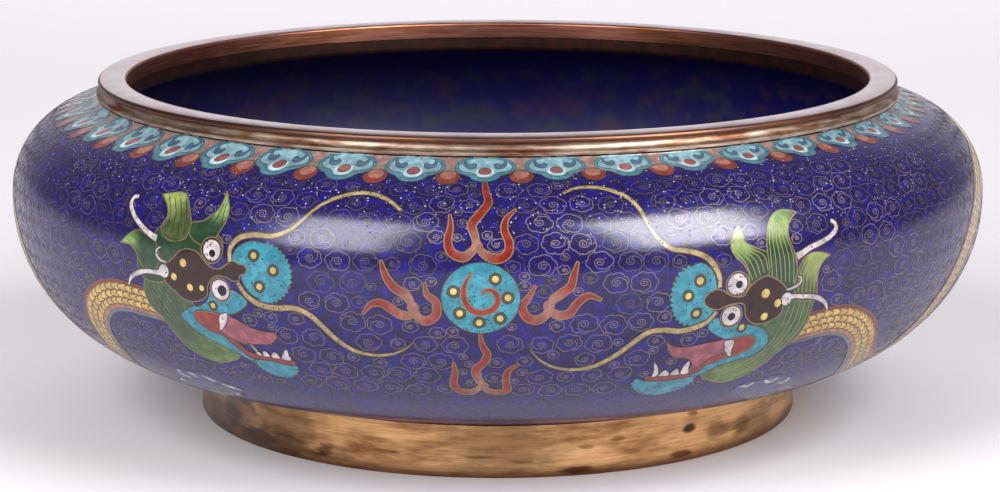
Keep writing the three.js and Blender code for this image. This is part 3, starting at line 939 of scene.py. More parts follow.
def draw_back_flames():
    """Flames between the dragons' bodies, and a second pearl where their tails meet."""
    drawing = Drawing()
    tail_x, tail_s = math.pi * DRAWN_RADIUS, -15
    for x, s in ((tail_x, 2), (-205, -26), (205, -24), (-300, -32), (298, -30), (-245, 14), (243, 12)):
        tongues = [
            [(px - PEARL[0] + x, (ps - 18.5) * 0.8 + s) for px, ps in tongue] for tongue in FLAMES["top"]
        ]
        draw_flames(drawing, tongues, 1.9)
    drawing.cell(disc(tail_x, tail_s, 14, 13.4, steps=50), "cyan", wire="dark")
    for k in range(5):
        angle = k * math.tau / 5
        draw_bead(drawing, tail_x + 4.6 * math.cos(angle), tail_s + 4.4 * math.sin(angle), 0.9)
    drawing.cell(disc(tail_x, tail_s, 3.6), "red")
    return drawing


# Cloud scrolls

SCROLL_SEED = 7
SCROLL_STRETCH = 1.3  # how much longer a scroll is round the wall than up it
SCROLL_TOP = 27.5
SCROLL_BOTTOM = -31.4
SCROLL_SIZES = (2.55, 2.85)
SCROLL_LEAST = 1.5  # near a figure a scroll shrinks, and below this size it is left out
FILL_TRIES = 9000
FILL_SIZES = (0.9, 1.9)  # of the small scrolls in the gaps
SCROLL_GAP = 0.1
FIGURE_GAP = 0.3
PAINTED_DARK_FROM = -9  # below it every scroll wire shines, and above it two in five do; the rest are dull, partly tarnish, partly painted shade of the upper wall


def scroll_line(x, s, size, turn, mirror, rng):
    """One cloud scroll: two tight turns in its middle, and a lobed turn round them."""
    inner = np.linspace(0, 1.75 * math.tau, 15)
    opening = np.linspace(1.75 * math.tau, 2.1 * math.tau, 4)[1:]
    lobes = rng.choice((5, 6, 6, 7))
    outer = np.linspace(2.1 * math.tau, 3.06 * math.tau, 4 * lobes + 1)[1:]
    bumps = np.abs(np.sin(np.linspace(0, math.pi * lobes, len(outer) + 1)[1:])) ** 0.8
    radii = np.concatenate([
        0.05 + 0.37 * inner / inner[-1],
        np.linspace(0.42, 0.9, 4)[1:],
        0.9 + 0.12 * bumps - 0.12 * np.linspace(0, 1, len(outer)) ** 3,
    ])
    angles = np.concatenate([inner, opening, outer]) * mirror + turn
    across, up = SCROLL_STRETCH * size * radii * np.cos(angles), size * radii * np.sin(angles)
    return np.stack([x + across, s + up], axis=1)


def draw_scrolls(wall, sizes, drawings):
    """Rows of cloud scrolls wherever no figure lies, and small ones in the gaps that they leave."""
    rng = random.Random(SCROLL_SEED)
    around = math.tau * wall.radius
    pitch, row = sizes.scroll_pitch / MM, sizes.scroll_row / MM
    outlines = []
    for drawing in drawings:
        for outline in drawing.outlines():
            outlines += [outline + (turn, 0) for turn in (-around, 0, around)]
    edge = np.vstack(outlines)
    tree = KDTree(len(edge))
    for i, (x, s) in enumerate(edge):
        tree.insert((x, s, 0), i)
    tree.balance()

    def covered(spots):
        found = np.zeros(len(spots), bool)
        for outline in outlines:
            low, high = outline.min(axis=0), outline.max(axis=0)
            near = ((spots > low) & (spots < high)).all(axis=1)
            if near.any():
                found[near] |= inside(spots[near], outline)
        return found

    count = round(around / pitch)
    spots = []
    for k in range(int((SCROLL_TOP - SCROLL_BOTTOM) / row) + 1):
        for i in range(count):
            x = (i + 0.5 * (k % 2)) * around / count - around / 2 + rng.uniform(-0.5, 0.5)
            spots.append((x, SCROLL_BOTTOM + k * row + rng.uniform(-0.35, 0.35)))
    spots = np.array(spots)
    placed = []
    for (x, s), hidden in zip(spots, covered(spots)):
        if hidden:
            continue
        room = tree.find((x, s, 0))[2] - FIGURE_GAP
        size = min(rng.uniform(*SCROLL_SIZES), room)
        if size > SCROLL_LEAST:
            placed.append((x, s, size))
    tries = np.array([
        (rng.uniform(-around / 2, around / 2), rng.uniform(SCROLL_BOTTOM - 2, SCROLL_TOP + 1.5))
        for _ in range(FILL_TRIES)
    ])
    centres = np.array(placed)
    least, most = FILL_SIZES
    extra = []
    for (x, s), hidden in zip(tries, covered(tries)):
        if hidden:
            continue
        room = tree.find((x, s, 0))[2] - FIGURE_GAP
        gaps = np.hypot((centres[:, 0] - x) / SCROLL_STRETCH, centres[:, 1] - s) - centres[:, 2]
        room = min(room, gaps.min() - SCROLL_GAP)
        for other_x, other_s, other in extra:
            room = min(room, math.hypot((other_x - x) / SCROLL_STRETCH, other_s - s) - other - SCROLL_GAP)
            if room < least:
                break
        if room >= least:
            extra.append((x, s, min(room, most)))
    return [
        scroll_line(x, s, size, rng.uniform(0, math.tau), rng.choice((-1, 1)), rng)
        for x, s, size in placed + extra
    ]


# Materials

def add(tree, kind, **settings):
    """Adds a node. Settings name its attributes, or its inputs by name or by i and a place."""
    node = tree.nodes.new(kind)
    for key, value in settings.items():
        if hasattr(node, key):
            setattr(node, key, value)
            continue
        by_place = key[0] == "i" and key[1:].isdigit()
        socket = node.inputs[int(key[1:]) if by_place else key.replace("_", " ")]
        if isinstance(value, bpy.types.NodeSocket):
            tree.links.new(value, socket)
        else:
            socket.default_value = value
    return node


def new_material(name):
    material = bpy.data.materials.new(name)
    material.use_nodes = True
    material.node_tree.nodes.clear()
    return material, material.node_tree


def rgba(colour):
    return (*colour, 1.0)


def calculate(tree, operation, *values):
    """The result of a math node. Each value is a number or an output."""
    inputs = {f"i{place}": value for place, value in enumerate(values)}
    return add(tree, "ShaderNodeMath", operation=operation, **inputs).outputs[0]


def noise(tree, place, length, detail, **settings):
    """Noise with patches of about length mm."""
    scale = 1 / (length * MM)
    settings.update(Vector=place, Scale=scale, Detail=detail)
    return add(tree, "ShaderNodeTexNoise", **settings).outputs["Fac"]


def ramp(tree, value, low, high):
    """0 below low and 1 above high, with a smooth rise between."""
    settings = {"interpolation_type": "SMOOTHSTEP", "From_Min": low, "From_Max": high}
    return add(tree, "ShaderNodeMapRange", Value=value, **settings).outputs["Result"]


def spread(tree, share, low, high):
    """Low where share is 0, and high where it is 1."""
    return add(tree, "ShaderNodeMapRange", Value=share, To_Min=low, To_Max=high).outputs["Result"]


def mixed(tree, share, first, second):
    """A mix of two colours, each a value or an output."""
    return add(tree, "ShaderNodeMix", data_type="RGBA", i0=share, i6=first, i7=second).outputs[2]


def darkened(tree, colour, veil):
    """A colour seen through a veil of another one."""
    settings = {"data_type": "RGBA", "blend_type": "MULTIPLY", "i0": 1.0, "i6": colour, "i7": rgba(veil)}
    return add(tree, "ShaderNodeMix", **settings).outputs[2]


def finish_material(tree, **settings):
    shader = add(tree, "ShaderNodeBsdfPrincipled", **settings)
    add(tree, "ShaderNodeOutputMaterial", Surface=shader.outputs[0])


# Linear colours of the veils over the enamel, of the grime in its pits, and of the painted glints on some pits
COBALT_VEIL = (0.95, 1.0, 0.36)
ENAMEL_VEIL = (0.66, 0.66, 0.7)
GRIME = (0.018, 0.014, 0.02)
# Pale colour of the painted glints in some pits
PAINTED_GLINT = (0.36, 0.34, 0.42)
MANY_PITS = 0.7  # an enamel with more pitting than this has its pits at the close spacing
CLOSE_SPACING = 0.68
WIDE_SPACING = 1.05


def enamel_material(key):
    """Vitreous enamel, fired in the cell and ground flush: glossy, clouded, and pitted with burst bubbles. The
    pits are black with grime. Towards the mouth they grow wider, and there some are painted pale, as painted
    glints of light in the pits."""
    name = f"{key}_fired_enamel"
    if name in bpy.data.materials:
        return bpy.data.materials[name]
    _, second, pitting = ENAMELS[key]
    material, tree = new_material(name)
    place = add(tree, "ShaderNodeTexCoord").outputs["Object"]
    colour = rgba(getattr(bpy.context.scene.bowl_colours, key))
    if second:
        fade = add(tree, "ShaderNodeAttribute", attribute_name="fade").outputs["Fac"]
        colour = mixed(tree, fade, colour, rgba(hex_colour(second)))
    veiled = darkened(tree, colour, COBALT_VEIL if key == "cobalt" else ENAMEL_VEIL)
    colour = mixed(tree, ramp(tree, noise(tree, place, 2.2, 3.0), 0.34, 0.58), colour, veiled)

    spacing = CLOSE_SPACING if pitting > MANY_PITS else WIDE_SPACING
    bubbles = add(tree, "ShaderNodeTexVoronoi", Vector=place, Scale=1 / (spacing * MM)).outputs
    kinds = add(tree, "ShaderNodeSeparateColor", Color=bubbles["Color"]).outputs
    height = add(tree, "ShaderNodeSeparateXYZ", Vector=place).outputs[2]
    radius = calculate(tree, "MULTIPLY_ADD", kinds[0], 0.5 * pitting, -0.09 if pitting else -1.0)
    radius = calculate(tree, "MULTIPLY_ADD", ramp(tree, height, 0.07, 0.088), 0.06, radius)
    flush = ramp(tree, calculate(tree, "SUBTRACT", bubbles["Distance"], radius), -0.02, 0.06)
    # Some pits near the mouth are painted pale: painted glints of light caught in the pits
    white = calculate(tree, "MULTIPLY", ramp(tree, kinds[1], 0.72, 0.74), ramp(tree, height, 0.066, 0.084))
    colour = mixed(tree, flush, mixed(tree, white, rgba(GRIME), rgba(PAINTED_GLINT)), colour)

    pits = add(tree, "ShaderNodeBump", Strength=0.25, Distance=0.03 * MM, Height=flush).outputs[0]
    grain = noise(tree, place, 2.5, 1.0)
    fine = add(tree, "ShaderNodeBump", Strength=0.15, Distance=0.03 * MM, Height=grain, Normal=pits)
    rough = spread(tree, flush, 0.7, 0.2)
    finish_material(tree, Base_Color=colour, Roughness=rough, IOR=1.5, Normal=fine.outputs[0])
    return material


def inside_material():
    """The bowl's inside: violet-blue enamel that has gone dull, clouded with olive and brown."""
    colours = bpy.context.scene.bowl_colours
    material, tree = new_material("inside_enamel")
    place = add(tree, "ShaderNodeTexCoord").outputs["Object"]
    tint = ramp(tree, noise(tree, place, 12, 1.0), 0.4, 0.6)
    dull = mixed(tree, tint, rgba(colours.olive_cloud), rgba(colours.brown_cloud))
    share = calculate(tree, "MULTIPLY", ramp(tree, noise(tree, place, 7, 2.0), 0.42, 0.68), 0.6)
    finish_material(tree, Base_Color=mixed(tree, share, rgba(colours.inside), dull), Roughness=0.5, IOR=1.4)
    return material


def tarnished_material():
    """Copper at the mouth's edge, under the rim, brown-black with age."""
    colours = bpy.context.scene.bowl_colours
    material, tree = new_material("tarnished_copper")
    place = add(tree, "ShaderNodeTexCoord").outputs["Object"]
    cloud = ramp(tree, noise(tree, place, 4, 4.0), 0.35, 0.7)
    colour = mixed(tree, cloud, rgba(colours.tarnish), rgba(colours.red_tarnish))
    finish_material(tree, Base_Color=colour, Metallic=0.7, Roughness=0.5)
    return material


def wire_material(key):
    """Brass wire, ground flush and polished with the enamel: it shares the enamel's clear sheen, so that it fades
    from sight where the wall is seen edge-on. Some wires are dark: partly tarnish and dark gaps, partly painted
    shade, of figure wires that mirror the dark room and of scroll wires high on the wall."""
    name = f"{key}_brass_wire"
    if name in bpy.data.materials:
        return bpy.data.materials[name]
    material, tree = new_material(name)
    colour = rgba(getattr(bpy.context.scene.bowl_colours, key))
    finish_material(tree, Base_Color=colour, Metallic=0.7, Roughness=0.6, Coat_Weight=1.0, Coat_Roughness=0.2)
    return material


FOOT_STAINS_AND_SHADE = [  # x and height of the middle, width and height, and how far it hides the gilding. Stains, and painted shade
    (52.2, 8.9, 4.0, 2.6, 0.9), (60.8, 6.7, 9.0, 5.0, 0.5), (68, 5.7, 5.0, 4.5, 0.4),
    (32.3, 9.3, 4.0, 1.6, 0.5),
    (24.2, 7.7, 4.0, 1.5, 0.5), (7.1, 4.5, 7.0, 1.2, 0.45), (20.6, 1.5, 10.0, 2.4, 0.8),
    (49.8, 2.3, 6.0, 2.4, 0.7),
    (53.4, 12.9, 3.0, 1.6, 0.6), (-46.9, 4.2, 4.2, 3.0, 0.6), (-44, 3.4, 14.0, 5.0, 0.4),
    (-31.4, 6.0, 9.0, 1.2, 0.5),
    (-70.6, 11.5, 4.0, 2.2, 0.6), (-74.5, 7.0, 8.0, 7.0, 0.8), (-66, 3.5, 13.0, 4.0, 0.6),
    (-6, 5.8, 11.0, 0.9, 0.5),
    (-57, 5.0, 7.0, 3.0, 0.35), (-62, 2.5, 42.0, 10.0, 0.5),
    # Painted shade: the last four darken the middle of the front and both ends, between the softboxes'
    # reflections
    (1.5, 9.0, 36.0, 20.0, 0.5), (-57, 8.0, 26.0, 20.0, 0.5), (-72, 9.0, 12.0, 14.0, 0.45),
    (72, 5.0, 16.0, 12.0, 0.4),
]


MARK_RADIUS = 86.8  # the stains and the painted shade lie on the foot ring's outside, at half its height
MARK_DEPTH = 15


def copper_material(name, bright, worn, share, patch=24, marks=(), dull=0.7, gloss=0.28):
    """Fire-gilt copper: gilding that has rubbed through to the copper in patches, brushed round the ring, with
    dark stains and painted shade, as marks lists them. Share is how much of it has worn, and patch the length of
    the patches in mm. Dull is how much light the dark brushed lines keep, and gloss the roughness of the most
    polished ones."""
    colours = bpy.context.scene.bowl_colours
    tarnish = rgba(colours.tarnish)
    material, tree = new_material(name)
    place = add(tree, "ShaderNodeTexCoord").outputs["Object"]
    longer = add(tree, "ShaderNodeMapping", Vector=place, Scale=(1, 1, 4)).outputs[0]
    along = add(tree, "ShaderNodeMapping", Vector=place, Scale=(1, 1, 26)).outputs[0]
    patches = noise(tree, longer, patch, 5.0, Roughness=0.6)
    brush = noise(tree, along, 14, 6.0, Roughness=0.7)
    blots = noise(tree, longer, 7, 4.0, Roughness=0.6)
    colour = mixed(tree, ramp(tree, patches, share - 0.18, share + 0.18), rgba(worn), rgba(bright))
    lines = darkened(tree, colour, (dull, dull * 0.92, dull * 0.86))
    colour = mixed(tree, ramp(tree, brush, 0.35, 0.65), lines, colour)
    colour = mixed(tree, ramp(tree, blots, 0.66, 0.8), colour, tarnish)
    # Each mark darkens the gilding towards tarnish: some are stains, and some are painted shade
    for x, height, width, rise, hidden in marks:
        middle = (x * MM, -math.sqrt(MARK_RADIUS ** 2 - x ** 2) * MM, height * MM)
        scale = (2 / width / MM, 1 / (MARK_DEPTH * MM), 2 / rise / MM)
        shift = [-at * by for at, by in zip(middle, scale)]
        away = add(tree, "ShaderNodeMapping", Vector=place, Scale=scale, Location=shift).outputs[0]
        away = add(tree, "ShaderNodeVectorMath", operation="LENGTH", i0=away).outputs["Value"]
        ragged = calculate(tree, "MULTIPLY_ADD", blots, -1.6, away)
        shown = calculate(tree, "MULTIPLY", ramp(tree, ragged, 0.45, -0.35), hidden)
        colour = mixed(tree, shown, colour, tarnish)
    if marks:
        parts = add(tree, "ShaderNodeSeparateXYZ", Vector=place).outputs
        low = calculate(tree, "MULTIPLY", ramp(tree, parts[2], 0.004, 0.0004), 0.75)
        colour = mixed(tree, low, colour, rgba(colours.low_tarnish))
        left = calculate(tree, "MULTIPLY", ramp(tree, parts[0], -0.05, -0.082), 0.7)
        colour = mixed(tree, left, colour, rgba(colours.grey_gilt))
    bump = add(tree, "ShaderNodeBump", Strength=0.5, Distance=0.08 * MM, Height=brush).outputs[0]
    rough = spread(tree, brush, gloss, gloss + 0.22)
    finish_material(tree, Base_Color=colour, Metallic=1.0, Roughness=rough, Normal=bump)
    return material


def pale_copper_material():
    """The rim's top, rubbed smooth by hands, with a clear shine. Its pale pinkish colour is painted reflection.
    """
    colours = bpy.context.scene.bowl_colours
    material, tree = new_material("rubbed_copper")
    place = add(tree, "ShaderNodeTexCoord").outputs["Object"]
    cloud = ramp(tree, noise(tree, place, 9, 4.0), 0.3, 0.8)
    colour = mixed(tree, cloud, rgba(colours.rubbed_copper), rgba(colours.dull_copper))
    finish_material(tree, Base_Color=colour, Metallic=1.0, Roughness=0.22)
    return material


def paper_material():
    """Seamless photographer's paper: matt and even."""
    material, tree = new_material("white_paper")
    finish_material(tree, Base_Color=rgba(bpy.context.scene.bowl_colours.floor), Roughness=0.9, IOR=1.3)
    return material


# Turned pieces

def turned(name, profile, closed):
    """A piece of revolution. Its profile's points, (radius, height) in mm, are extruded and spun."""
    bpy.ops.object.select_all(action="DESELECT")
    bpy.ops.mesh.primitive_plane_add(size=MM)
    piece = bpy.context.object
    piece.name = name
    piece.data.name = name
    bpy.ops.object.mode_set(mode="EDIT")
    bpy.ops.mesh.select_mode(type="VERT")
    bpy.ops.mesh.select_all(action="SELECT")
    bpy.ops.mesh.merge(type="CENTER")
    points = [Vector((radius * MM, 0, height * MM)) for radius, height in profile]
    bpy.ops.transform.translate(value=points[0])
    for before, here in zip(points, points[1:] + ([points[0]] if closed else [])):
        bpy.ops.mesh.extrude_vertices_move(TRANSFORM_OT_translate={"value": here - before})
    bpy.ops.mesh.select_all(action="SELECT")
    bpy.ops.mesh.spin(steps=RING_STEPS, angle=math.tau, center=(0, 0, 0), axis=(0, 0, 1))
    bpy.ops.mesh.select_all(action="SELECT")
    bpy.ops.mesh.remove_doubles(threshold=0.002 * MM)
    bpy.ops.mesh.normals_make_consistent(inside=False)
    bpy.ops.object.mode_set(mode="OBJECT")
    bpy.ops.object.shade_smooth_by_angle(angle=math.radians(35))
    return piece


def arc(radius, height, width, rise, start, end, steps):
    """Points of a circle's or an ellipse's arc, in degrees, without its first one."""
    angles = np.radians(np.linspace(start, end, steps + 1)[1:])
    return [(radius + width * math.cos(a), height + rise * math.sin(a)) for a in angles]


def face_places(piece):
    """Radius and height of each face's middle in mm, how far it looks outwards, and how far upwards."""
    count = len(piece.data.polygons)
    middles, normals = np.zeros(3 * count), np.zeros(3 * count)
    piece.data.polygons.foreach_get("center", middles)
    piece.data.polygons.foreach_get("normal", normals)
    middles, normals = middles.reshape(-1, 3) / MM, normals.reshape(-1, 3)
    outwards = (middles[:, :2] * normals[:, :2]).sum(axis=1)
    return np.hypot(middles[:, 0], middles[:, 1]), middles[:, 2], outwards, normals[:, 2]


COLLAR_EDGE = 0.4  # the collar's copper shows this far up the wall, under the enamel
SWEEP_START = 33  # from here up the wall's line bends more and needs closer points


class BOWL_OT_body(bpy.types.Operator):
    """Makes the enamelled body, with its copper collar"""
    bl_idname = "bowl.body"
    bl_label = "Body"

    def execute(self, context):
        sizes = context.scene.bowl_sizes
        wall = Wall(sizes)
        thick = sizes.wall / MM
        foot_top = wall.collar_top - sizes.collar_flare / MM
        collar_inside = foot_top - sizes.collar_width / MM
        underside = sizes.collar_underside / MM
        seat = sizes.seat_height / MM
        enamel_mouth = (sizes.mouth_radius + sizes.rim_step) / MM
        lip = sizes.lip_round / MM
        shoulder_top = seat - sizes.neck_height / MM
        rises = np.concatenate([
            np.linspace(wall.low + COLLAR_EDGE, SWEEP_START, 88), np.linspace(SWEEP_START, wall.high, 24)[1:],
        ])
        outer = wall.profile(rises, SKIN_LIFT)
        collar = [(collar_inside, wall.floor_underside), (collar_inside, underside), (foot_top, underside),
                  (wall.collar_top - 0.1, wall.floor_underside - 0.25),
                  (wall.collar_top - 0.25, wall.floor_underside + 0.05)]

        def inner(quarter, steps):
            line = wall.quarter(*quarter)
            line = line + np.sign(quarter[1]) * line_normals(line) * thick
            along = np.concatenate([[0], np.cumsum(np.linalg.norm(np.diff(line, axis=0), axis=1))])
            even = np.linspace(0, along[-1], steps)
            return np.stack([np.interp(even, along, line[:, i]) for i in (0, 1)], axis=1)

        shoulder = inner(wall.shoulder, 18)[::-1]
        belly = inner(wall.belly, 30)[1:]
        mouth = [(enamel_mouth, seat), (enamel_mouth, shoulder_top - thick + lip)]
        mouth += arc(enamel_mouth + lip, shoulder_top - thick + lip, lip, lip, 180, 270, 6)
        floor = [(radius, wall.floor_underside + thick) for radius in (76, 60, 40, 20, 0)]
        profile = [(0, wall.floor_underside), *collar, *outer.tolist(), *mouth, *shoulder[1:].tolist(),
                   *belly.tolist(), *floor]
        piece = turned("enamelled_body", profile, closed=False)
        colours = context.scene.bowl_colours
        materials = [
            enamel_material("cobalt"),
            copper_material("brown_copper_collar", colours.copper, colours.tarnish, 0.5, patch=9),
            inside_material(),
            tarnished_material(),
        ]
        radius, height, outwards, _ = face_places(piece)
        copper = (height < wall.floor_underside + 0.6) & (radius > collar_inside - 0.1)
        mouth_end = enamel_mouth + lip
        hollow = (height > wall.floor_underside + 0.8) & ((outwards < 0) | (radius < mouth_end))
        edge = hollow & (radius < mouth_end) & (height > shoulder_top - thick)
        dress(piece.data, materials, copper + 2 * hollow + edge)
        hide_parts("bowl_body")
        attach(piece, "root")
        return {"FINISHED"}


class BOWL_OT_mouth_rim(bpy.types.Operator):
    """Makes the moulded rim of gilt copper round the mouth"""
    bl_idname = "bowl.mouth_rim"
    bl_label = "Mouth rim"

    def execute(self, context):
        sizes = context.scene.bowl_sizes
        inside_radius, top = sizes.mouth_radius / MM, sizes.rim_top / MM
        # The rim reaches down through the gap over the wall, so that no slit shows under it
        seat, bottom = sizes.seat_height / MM + 0.02, sizes.rim_bottom / MM
        flange, crown, edge = sizes.rim_radius / MM, sizes.rim_crown / MM, sizes.rim_edge / MM
        lip_radius = inside_radius + sizes.rim_width / MM
        lip = sizes.lip_height / MM / 2
        lip_middle = top - crown - lip
        flange_top = bottom + sizes.flange_height / MM
        cove_top = lip_middle - lip
        middle = inside_radius + sizes.rim_width / MM / 2
        profile = [(inside_radius, seat), (flange - SEAT_GAP, seat), (flange, bottom - 0.05),
                   (flange, flange_top - 0.15), (flange - 0.15, flange_top)]
        profile += arc(flange, cove_top, sizes.cove_depth / MM, cove_top - flange_top, 265, 180, 8)
        profile += arc(lip_radius - lip, lip_middle, lip, lip, -90, 70, 12)
        profile += [(middle + 1.8, top - 0.16), (middle, top), (middle - 1.8, top - 0.14)]
        profile += arc(inside_radius + edge, top - crown - edge, edge, edge, 90, 180, 7)
        piece = turned("gilt_mouth_rim", profile, closed=True)
        colours = context.scene.bowl_colours
        copper = colours.copper
        materials = [
            # The mouldings' pale grey gilt is partly painted reflection of the pale studio
            copper_material("gilt_copper_mouldings", colours.pale_gilt, copper, 0.47, 11, (), 0.5, 0.36),
            pale_copper_material(),
            copper_material("bare_copper_lip", colours.red_copper, copper, 0.4, patch=20),
            copper_material("bare_copper_mouth", colours.mouth_copper, copper, 0.45, patch=20),
        ]
        radius, height, _, upwards = face_places(piece)
        # The top's faces get the pale copper, whose colour is painted reflection
        rubbed_and_sheen_top = (upwards > 0.93) & (height > cove_top)
        mouth = ~rubbed_and_sheen_top & (radius < inside_radius + edge)
        lip_face = ~rubbed_and_sheen_top & ~mouth & (height > cove_top + 0.1)
        dress(piece.data, materials, rubbed_and_sheen_top + 2 * lip_face + 3 * mouth)
        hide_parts("mouth_rim")
        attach(piece, "root")
        return {"FINISHED"}


class BOWL_OT_foot_ring(bpy.types.Operator):
    """Makes the gilt copper foot ring"""
    bl_idname = "bowl.foot_ring"
    bl_label = "Foot ring"

    def execute(self, context):
        sizes = context.scene.bowl_sizes
        radius, top = sizes.foot_radius / MM, sizes.foot_height / MM
        taper, thick = sizes.foot_taper / MM, sizes.foot_wall / MM
        profile = [(radius - thick + 0.5, 0), (radius - 0.6, 0), (radius - 0.18, 0.15), (radius, 0.55)]
        profile += [(radius - taper * k / 8, top * k / 8) for k in range(1, 8)]
        profile += [(radius - taper, top - 0.4), (radius - taper - 0.35, top), (radius - taper - thick, top),
                    (radius - thick, 0.5)]
        piece = turned("gilt_foot_ring", profile, closed=True)
        colours = context.scene.bowl_colours
        dress(piece.data, [
            copper_material("gilt_copper_foot", colours.gilt, colours.copper, 0.42, 24, FOOT_STAINS_AND_SHADE, 0.8),
        ])
        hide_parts("foot_ring")
        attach(piece, "root")
        return {"FINISHED"}


class BOWL_OT_collar(bpy.types.Operator):
    """Lays the ruyi collar under the mouth rim, head by head"""
    bl_idname = "bowl.collar"
    bl_label = "Ruyi collar"

    def execute(self, context):
        wall = Wall(context.scene.bowl_sizes)
        pitch = math.tau * wall.radius / COLLAR_HEADS
        copies = [COLLAR_PHASE + pitch * i for i in range(COLLAR_HEADS)]
        lay_drawing("ruyi_collar", draw_collar_head(), wall, copies, lean, grid_step=0.9)
        return {"FINISHED"}


class BOWL_OT_pearl(bpy.types.Operator):
    """Lays the flaming pearl"""
    bl_idname = "bowl.pearl"
    bl_label = "Flaming pearl"

    def execute(self, context):
        lay_drawing("flaming_pearl", draw_pearl(), Wall(context.scene.bowl_sizes))
        return {"FINISHED"}


class BOWL_OT_dragons(bpy.types.Operator):
    """Lays the two dragons"""
    bl_idname = "bowl.dragons"
    bl_label = "Dragons"

    def execute(self, context):
        wall = Wall(context.scene.bowl_sizes)
        lay_drawing("left_dragon", draw_dragon(-1), wall)
        lay_drawing("right_dragon", draw_dragon(1), wall)
        return {"FINISHED"}


class BOWL_OT_back_flames(bpy.types.Operator):
    """Lays the flames and the second pearl at the back"""
    bl_idname = "bowl.back_flames"
    bl_label = "Back flames"

    def execute(self, context):
        lay_drawing("back_flames", draw_back_flames(), Wall(context.scene.bowl_sizes))
        return {"FINISHED"}


class BOWL_OT_cloud_scrolls(bpy.types.Operator):
    """Lays the wires of the cloud scrolls round the figures"""
    bl_idname = "bowl.cloud_scrolls"
    bl_label = "Cloud scrolls"

    def execute(self, context):
        sizes = context.scene.bowl_sizes
        wall = Wall(sizes)
        figures = [draw_pearl(), draw_dragon(-1), draw_dragon(1), draw_back_flames()]
        lines = draw_scrolls(wall, sizes, figures)
        quarter = math.tau * wall.radius / 4
        kinds = (("cloud_scrolls", "scroll", True), ("bright_scrolls", "bright_scroll", False))
        for k, name in enumerate(("back_left", "front_left", "front_right", "back_right")):
            mine = [line for line in lines if k - 2 <= line[0][0] / quarter < k - 1]
            # High on the wall three in five scroll wires get the dull colour: partly tarnish, partly painted
            # shade
            dull = [line[0][1] > PAINTED_DARK_FROM and i % 5 < 3 for i, line in enumerate(mine)]
            for piece, metal, shown in kinds:
                runs = [(line, SCROLL_WIDTH) for line, painted_dark in zip(mine, dull) if painted_dark == shown]
                lay_wires(f"{piece}_{name}", runs, wall, SCROLL_LIFT, metal)
        return {"FINISHED"}


# The studio, in metres
SWEEP_SIZE = 8
SWEEP_MIDDLE = (0, -0.2, 0)
SWEEP_RISE = 3
SWEEP_BEND = 1.2
LIGHT_AIM = Vector((0, 0, 0.07))
CAMERA_PLACE = (0.00065, -0.8221, 0.2189)
CAMERA_DOWN = 11.935  # how far it looks down, in degrees
CAMERA_LENS = 102.92


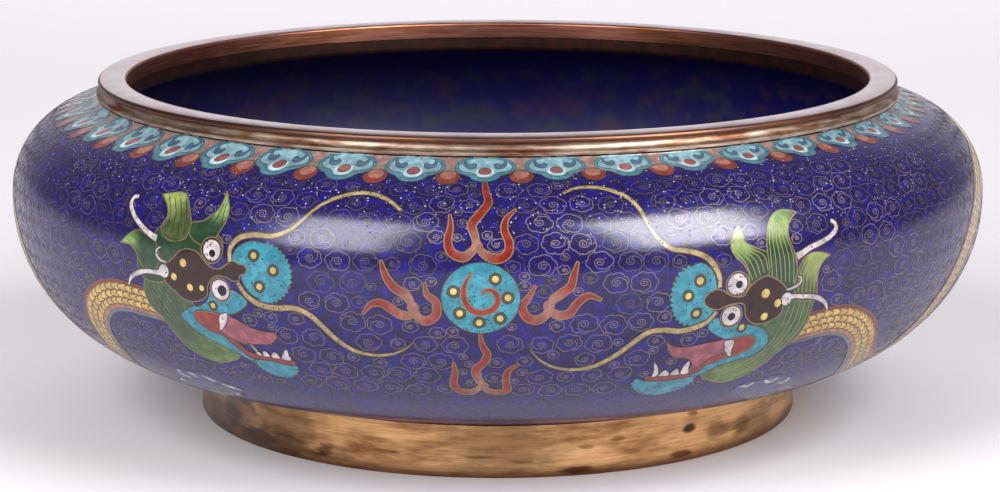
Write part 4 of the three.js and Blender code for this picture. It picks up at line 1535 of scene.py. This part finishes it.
class BOWL_OT_stage(bpy.types.Operator):
    """Makes the paper sweep, the studio's lights and the camera"""
    bl_idname = "bowl.stage"
    bl_label = "Stage"

    def execute(self, context):
        bpy.ops.object.select_all(action="DESELECT")
        bpy.ops.mesh.primitive_plane_add(size=SWEEP_SIZE, location=SWEEP_MIDDLE)
        floor = context.object
        floor.name = "paper_sweep"
        behind = SWEEP_SIZE / 2 - 0.1

        def select_edges(chosen):
            for edge in floor.data.edges:
                edge.select = all(chosen(floor.data.vertices[place].co) for place in edge.vertices)

        bpy.ops.object.mode_set(mode="EDIT")
        bpy.ops.mesh.select_all(action="DESELECT")
        bpy.ops.object.mode_set(mode="OBJECT")
        select_edges(lambda co: co.y > behind)
        bpy.ops.object.mode_set(mode="EDIT")
        bpy.ops.mesh.select_mode(type="EDGE")
        bpy.ops.mesh.extrude_region_move(TRANSFORM_OT_translate={"value": (0, 0, SWEEP_RISE)})
        bpy.ops.object.mode_set(mode="OBJECT")
        select_edges(lambda co: co.y > behind and co.z < SWEEP_RISE / 2)
        bpy.ops.object.mode_set(mode="EDIT")
        bpy.ops.mesh.bevel(offset=SWEEP_BEND, segments=24, affect="EDGES")
        bpy.ops.object.mode_set(mode="OBJECT")
        bpy.ops.object.transform_apply(location=True, rotation=True, scale=True)
        bpy.ops.object.shade_smooth()
        dress(floor.data, [paper_material()])

        def area_light(name, place, turn, width, height, power):
            bpy.ops.object.light_add(type="AREA", location=place, rotation=turn)
            light = context.object
            light.name = name
            light.data.shape = "RECTANGLE"
            light.data.size, light.data.size_y = width, height
            light.data.energy = power
            return light

        def softbox(name, azimuth, elevation, distance, width, height, power):
            """An area light that faces the bowl from an azimuth and an elevation in degrees."""
            a, e = math.radians(azimuth), math.radians(elevation)
            away = Vector((math.sin(a) * math.cos(e), -math.cos(a) * math.cos(e), math.sin(e)))
            turn = away.to_track_quat("Z", "Y").to_euler()
            return area_light(name, LIGHT_AIM + away * distance, turn, width, height, power)

        softbox("left_softbox", -38, 33, 1.5, 0.62, 0.92, 18.5)
        softbox("right_softbox", 47, 35.5, 1.5, 0.8, 0.92, 21.5)
        # The right softbox shows brighter in the enamel than it lights the paper
        reflector = softbox("right_reflector", 47, 35.5, 1.48, 0.8, 0.92, 20)
        reflector.visible_diffuse = False
        backdrop_light = area_light("backdrop_light", (0, 1.5, 1.7), (math.radians(35), 0, 0), 2.0, 0.4, 39)
        backdrop_light.visible_glossy = False
        front_fill = softbox("front_fill", -28, 16, 1.6, 1.0, 0.6, 6)
        front_fill.visible_glossy = False

        world = bpy.data.worlds.new("pale_studio")
        context.scene.world = world
        world.use_nodes = True
        background = world.node_tree.nodes["Background"]
        background.inputs["Color"].default_value = (0.93, 0.9, 0.96, 1)
        background.inputs["Strength"].default_value = 0.185

        camera_data = bpy.data.cameras.new("photograph")
        camera_data.lens = CAMERA_LENS
        camera_data.sensor_width = 36
        camera_data.clip_start = 0.05
        camera = bpy.data.objects.new("photograph", camera_data)
        context.scene.collection.objects.link(camera)
        camera.location = CAMERA_PLACE
        camera.rotation_euler = (math.radians(90 - CAMERA_DOWN), 0, 0)
        context.scene.camera = camera
        context.scene.view_settings.view_transform = "Standard"
        return {"FINISHED"}


OPERATORS = (
    BOWL_OT_stage, BOWL_OT_body, BOWL_OT_mouth_rim, BOWL_OT_foot_ring, BOWL_OT_collar, BOWL_OT_pearl,
    BOWL_OT_dragons, BOWL_OT_back_flames, BOWL_OT_cloud_scrolls,
)


class BOWL_PT_panel(bpy.types.Panel):
    bl_idname = "BOWL_PT_panel"
    bl_label = "Cloisonne bowl"
    bl_space_type = "VIEW_3D"
    bl_region_type = "UI"
    bl_category = "Bowl"

    def draw(self, context):
        for operator in OPERATORS:
            self.layout.operator(operator.bl_idname)
        for group in (context.scene.bowl_sizes, context.scene.bowl_colours):
            for key in group.bl_rna.properties.keys():
                if key not in ("rna_type", "name"):
                    self.layout.prop(group, key)


CLASSES = (BowlSizes, BowlColours, *OPERATORS, BOWL_PT_panel)


def register():
    for cls in CLASSES:
        bpy.utils.register_class(cls)
    bpy.types.Scene.bowl_sizes = bpy.props.PointerProperty(type=BowlSizes)
    bpy.types.Scene.bowl_colours = bpy.props.PointerProperty(type=BowlColours)


def unregister():
    del bpy.types.Scene.bowl_sizes
    del bpy.types.Scene.bowl_colours
    for cls in reversed(CLASSES):
        bpy.utils.unregister_class(cls)


def main():
    register()
    bpy.ops.bowl.stage()
    bpy.ops.bowl.body()
    bpy.ops.bowl.mouth_rim()
    bpy.ops.bowl.foot_ring()
    bpy.ops.bowl.collar()
    bpy.ops.bowl.pearl()
    bpy.ops.bowl.dragons()
    bpy.ops.bowl.back_flames()
    bpy.ops.bowl.cloud_scrolls()


if __name__ == "__main__":
    main()
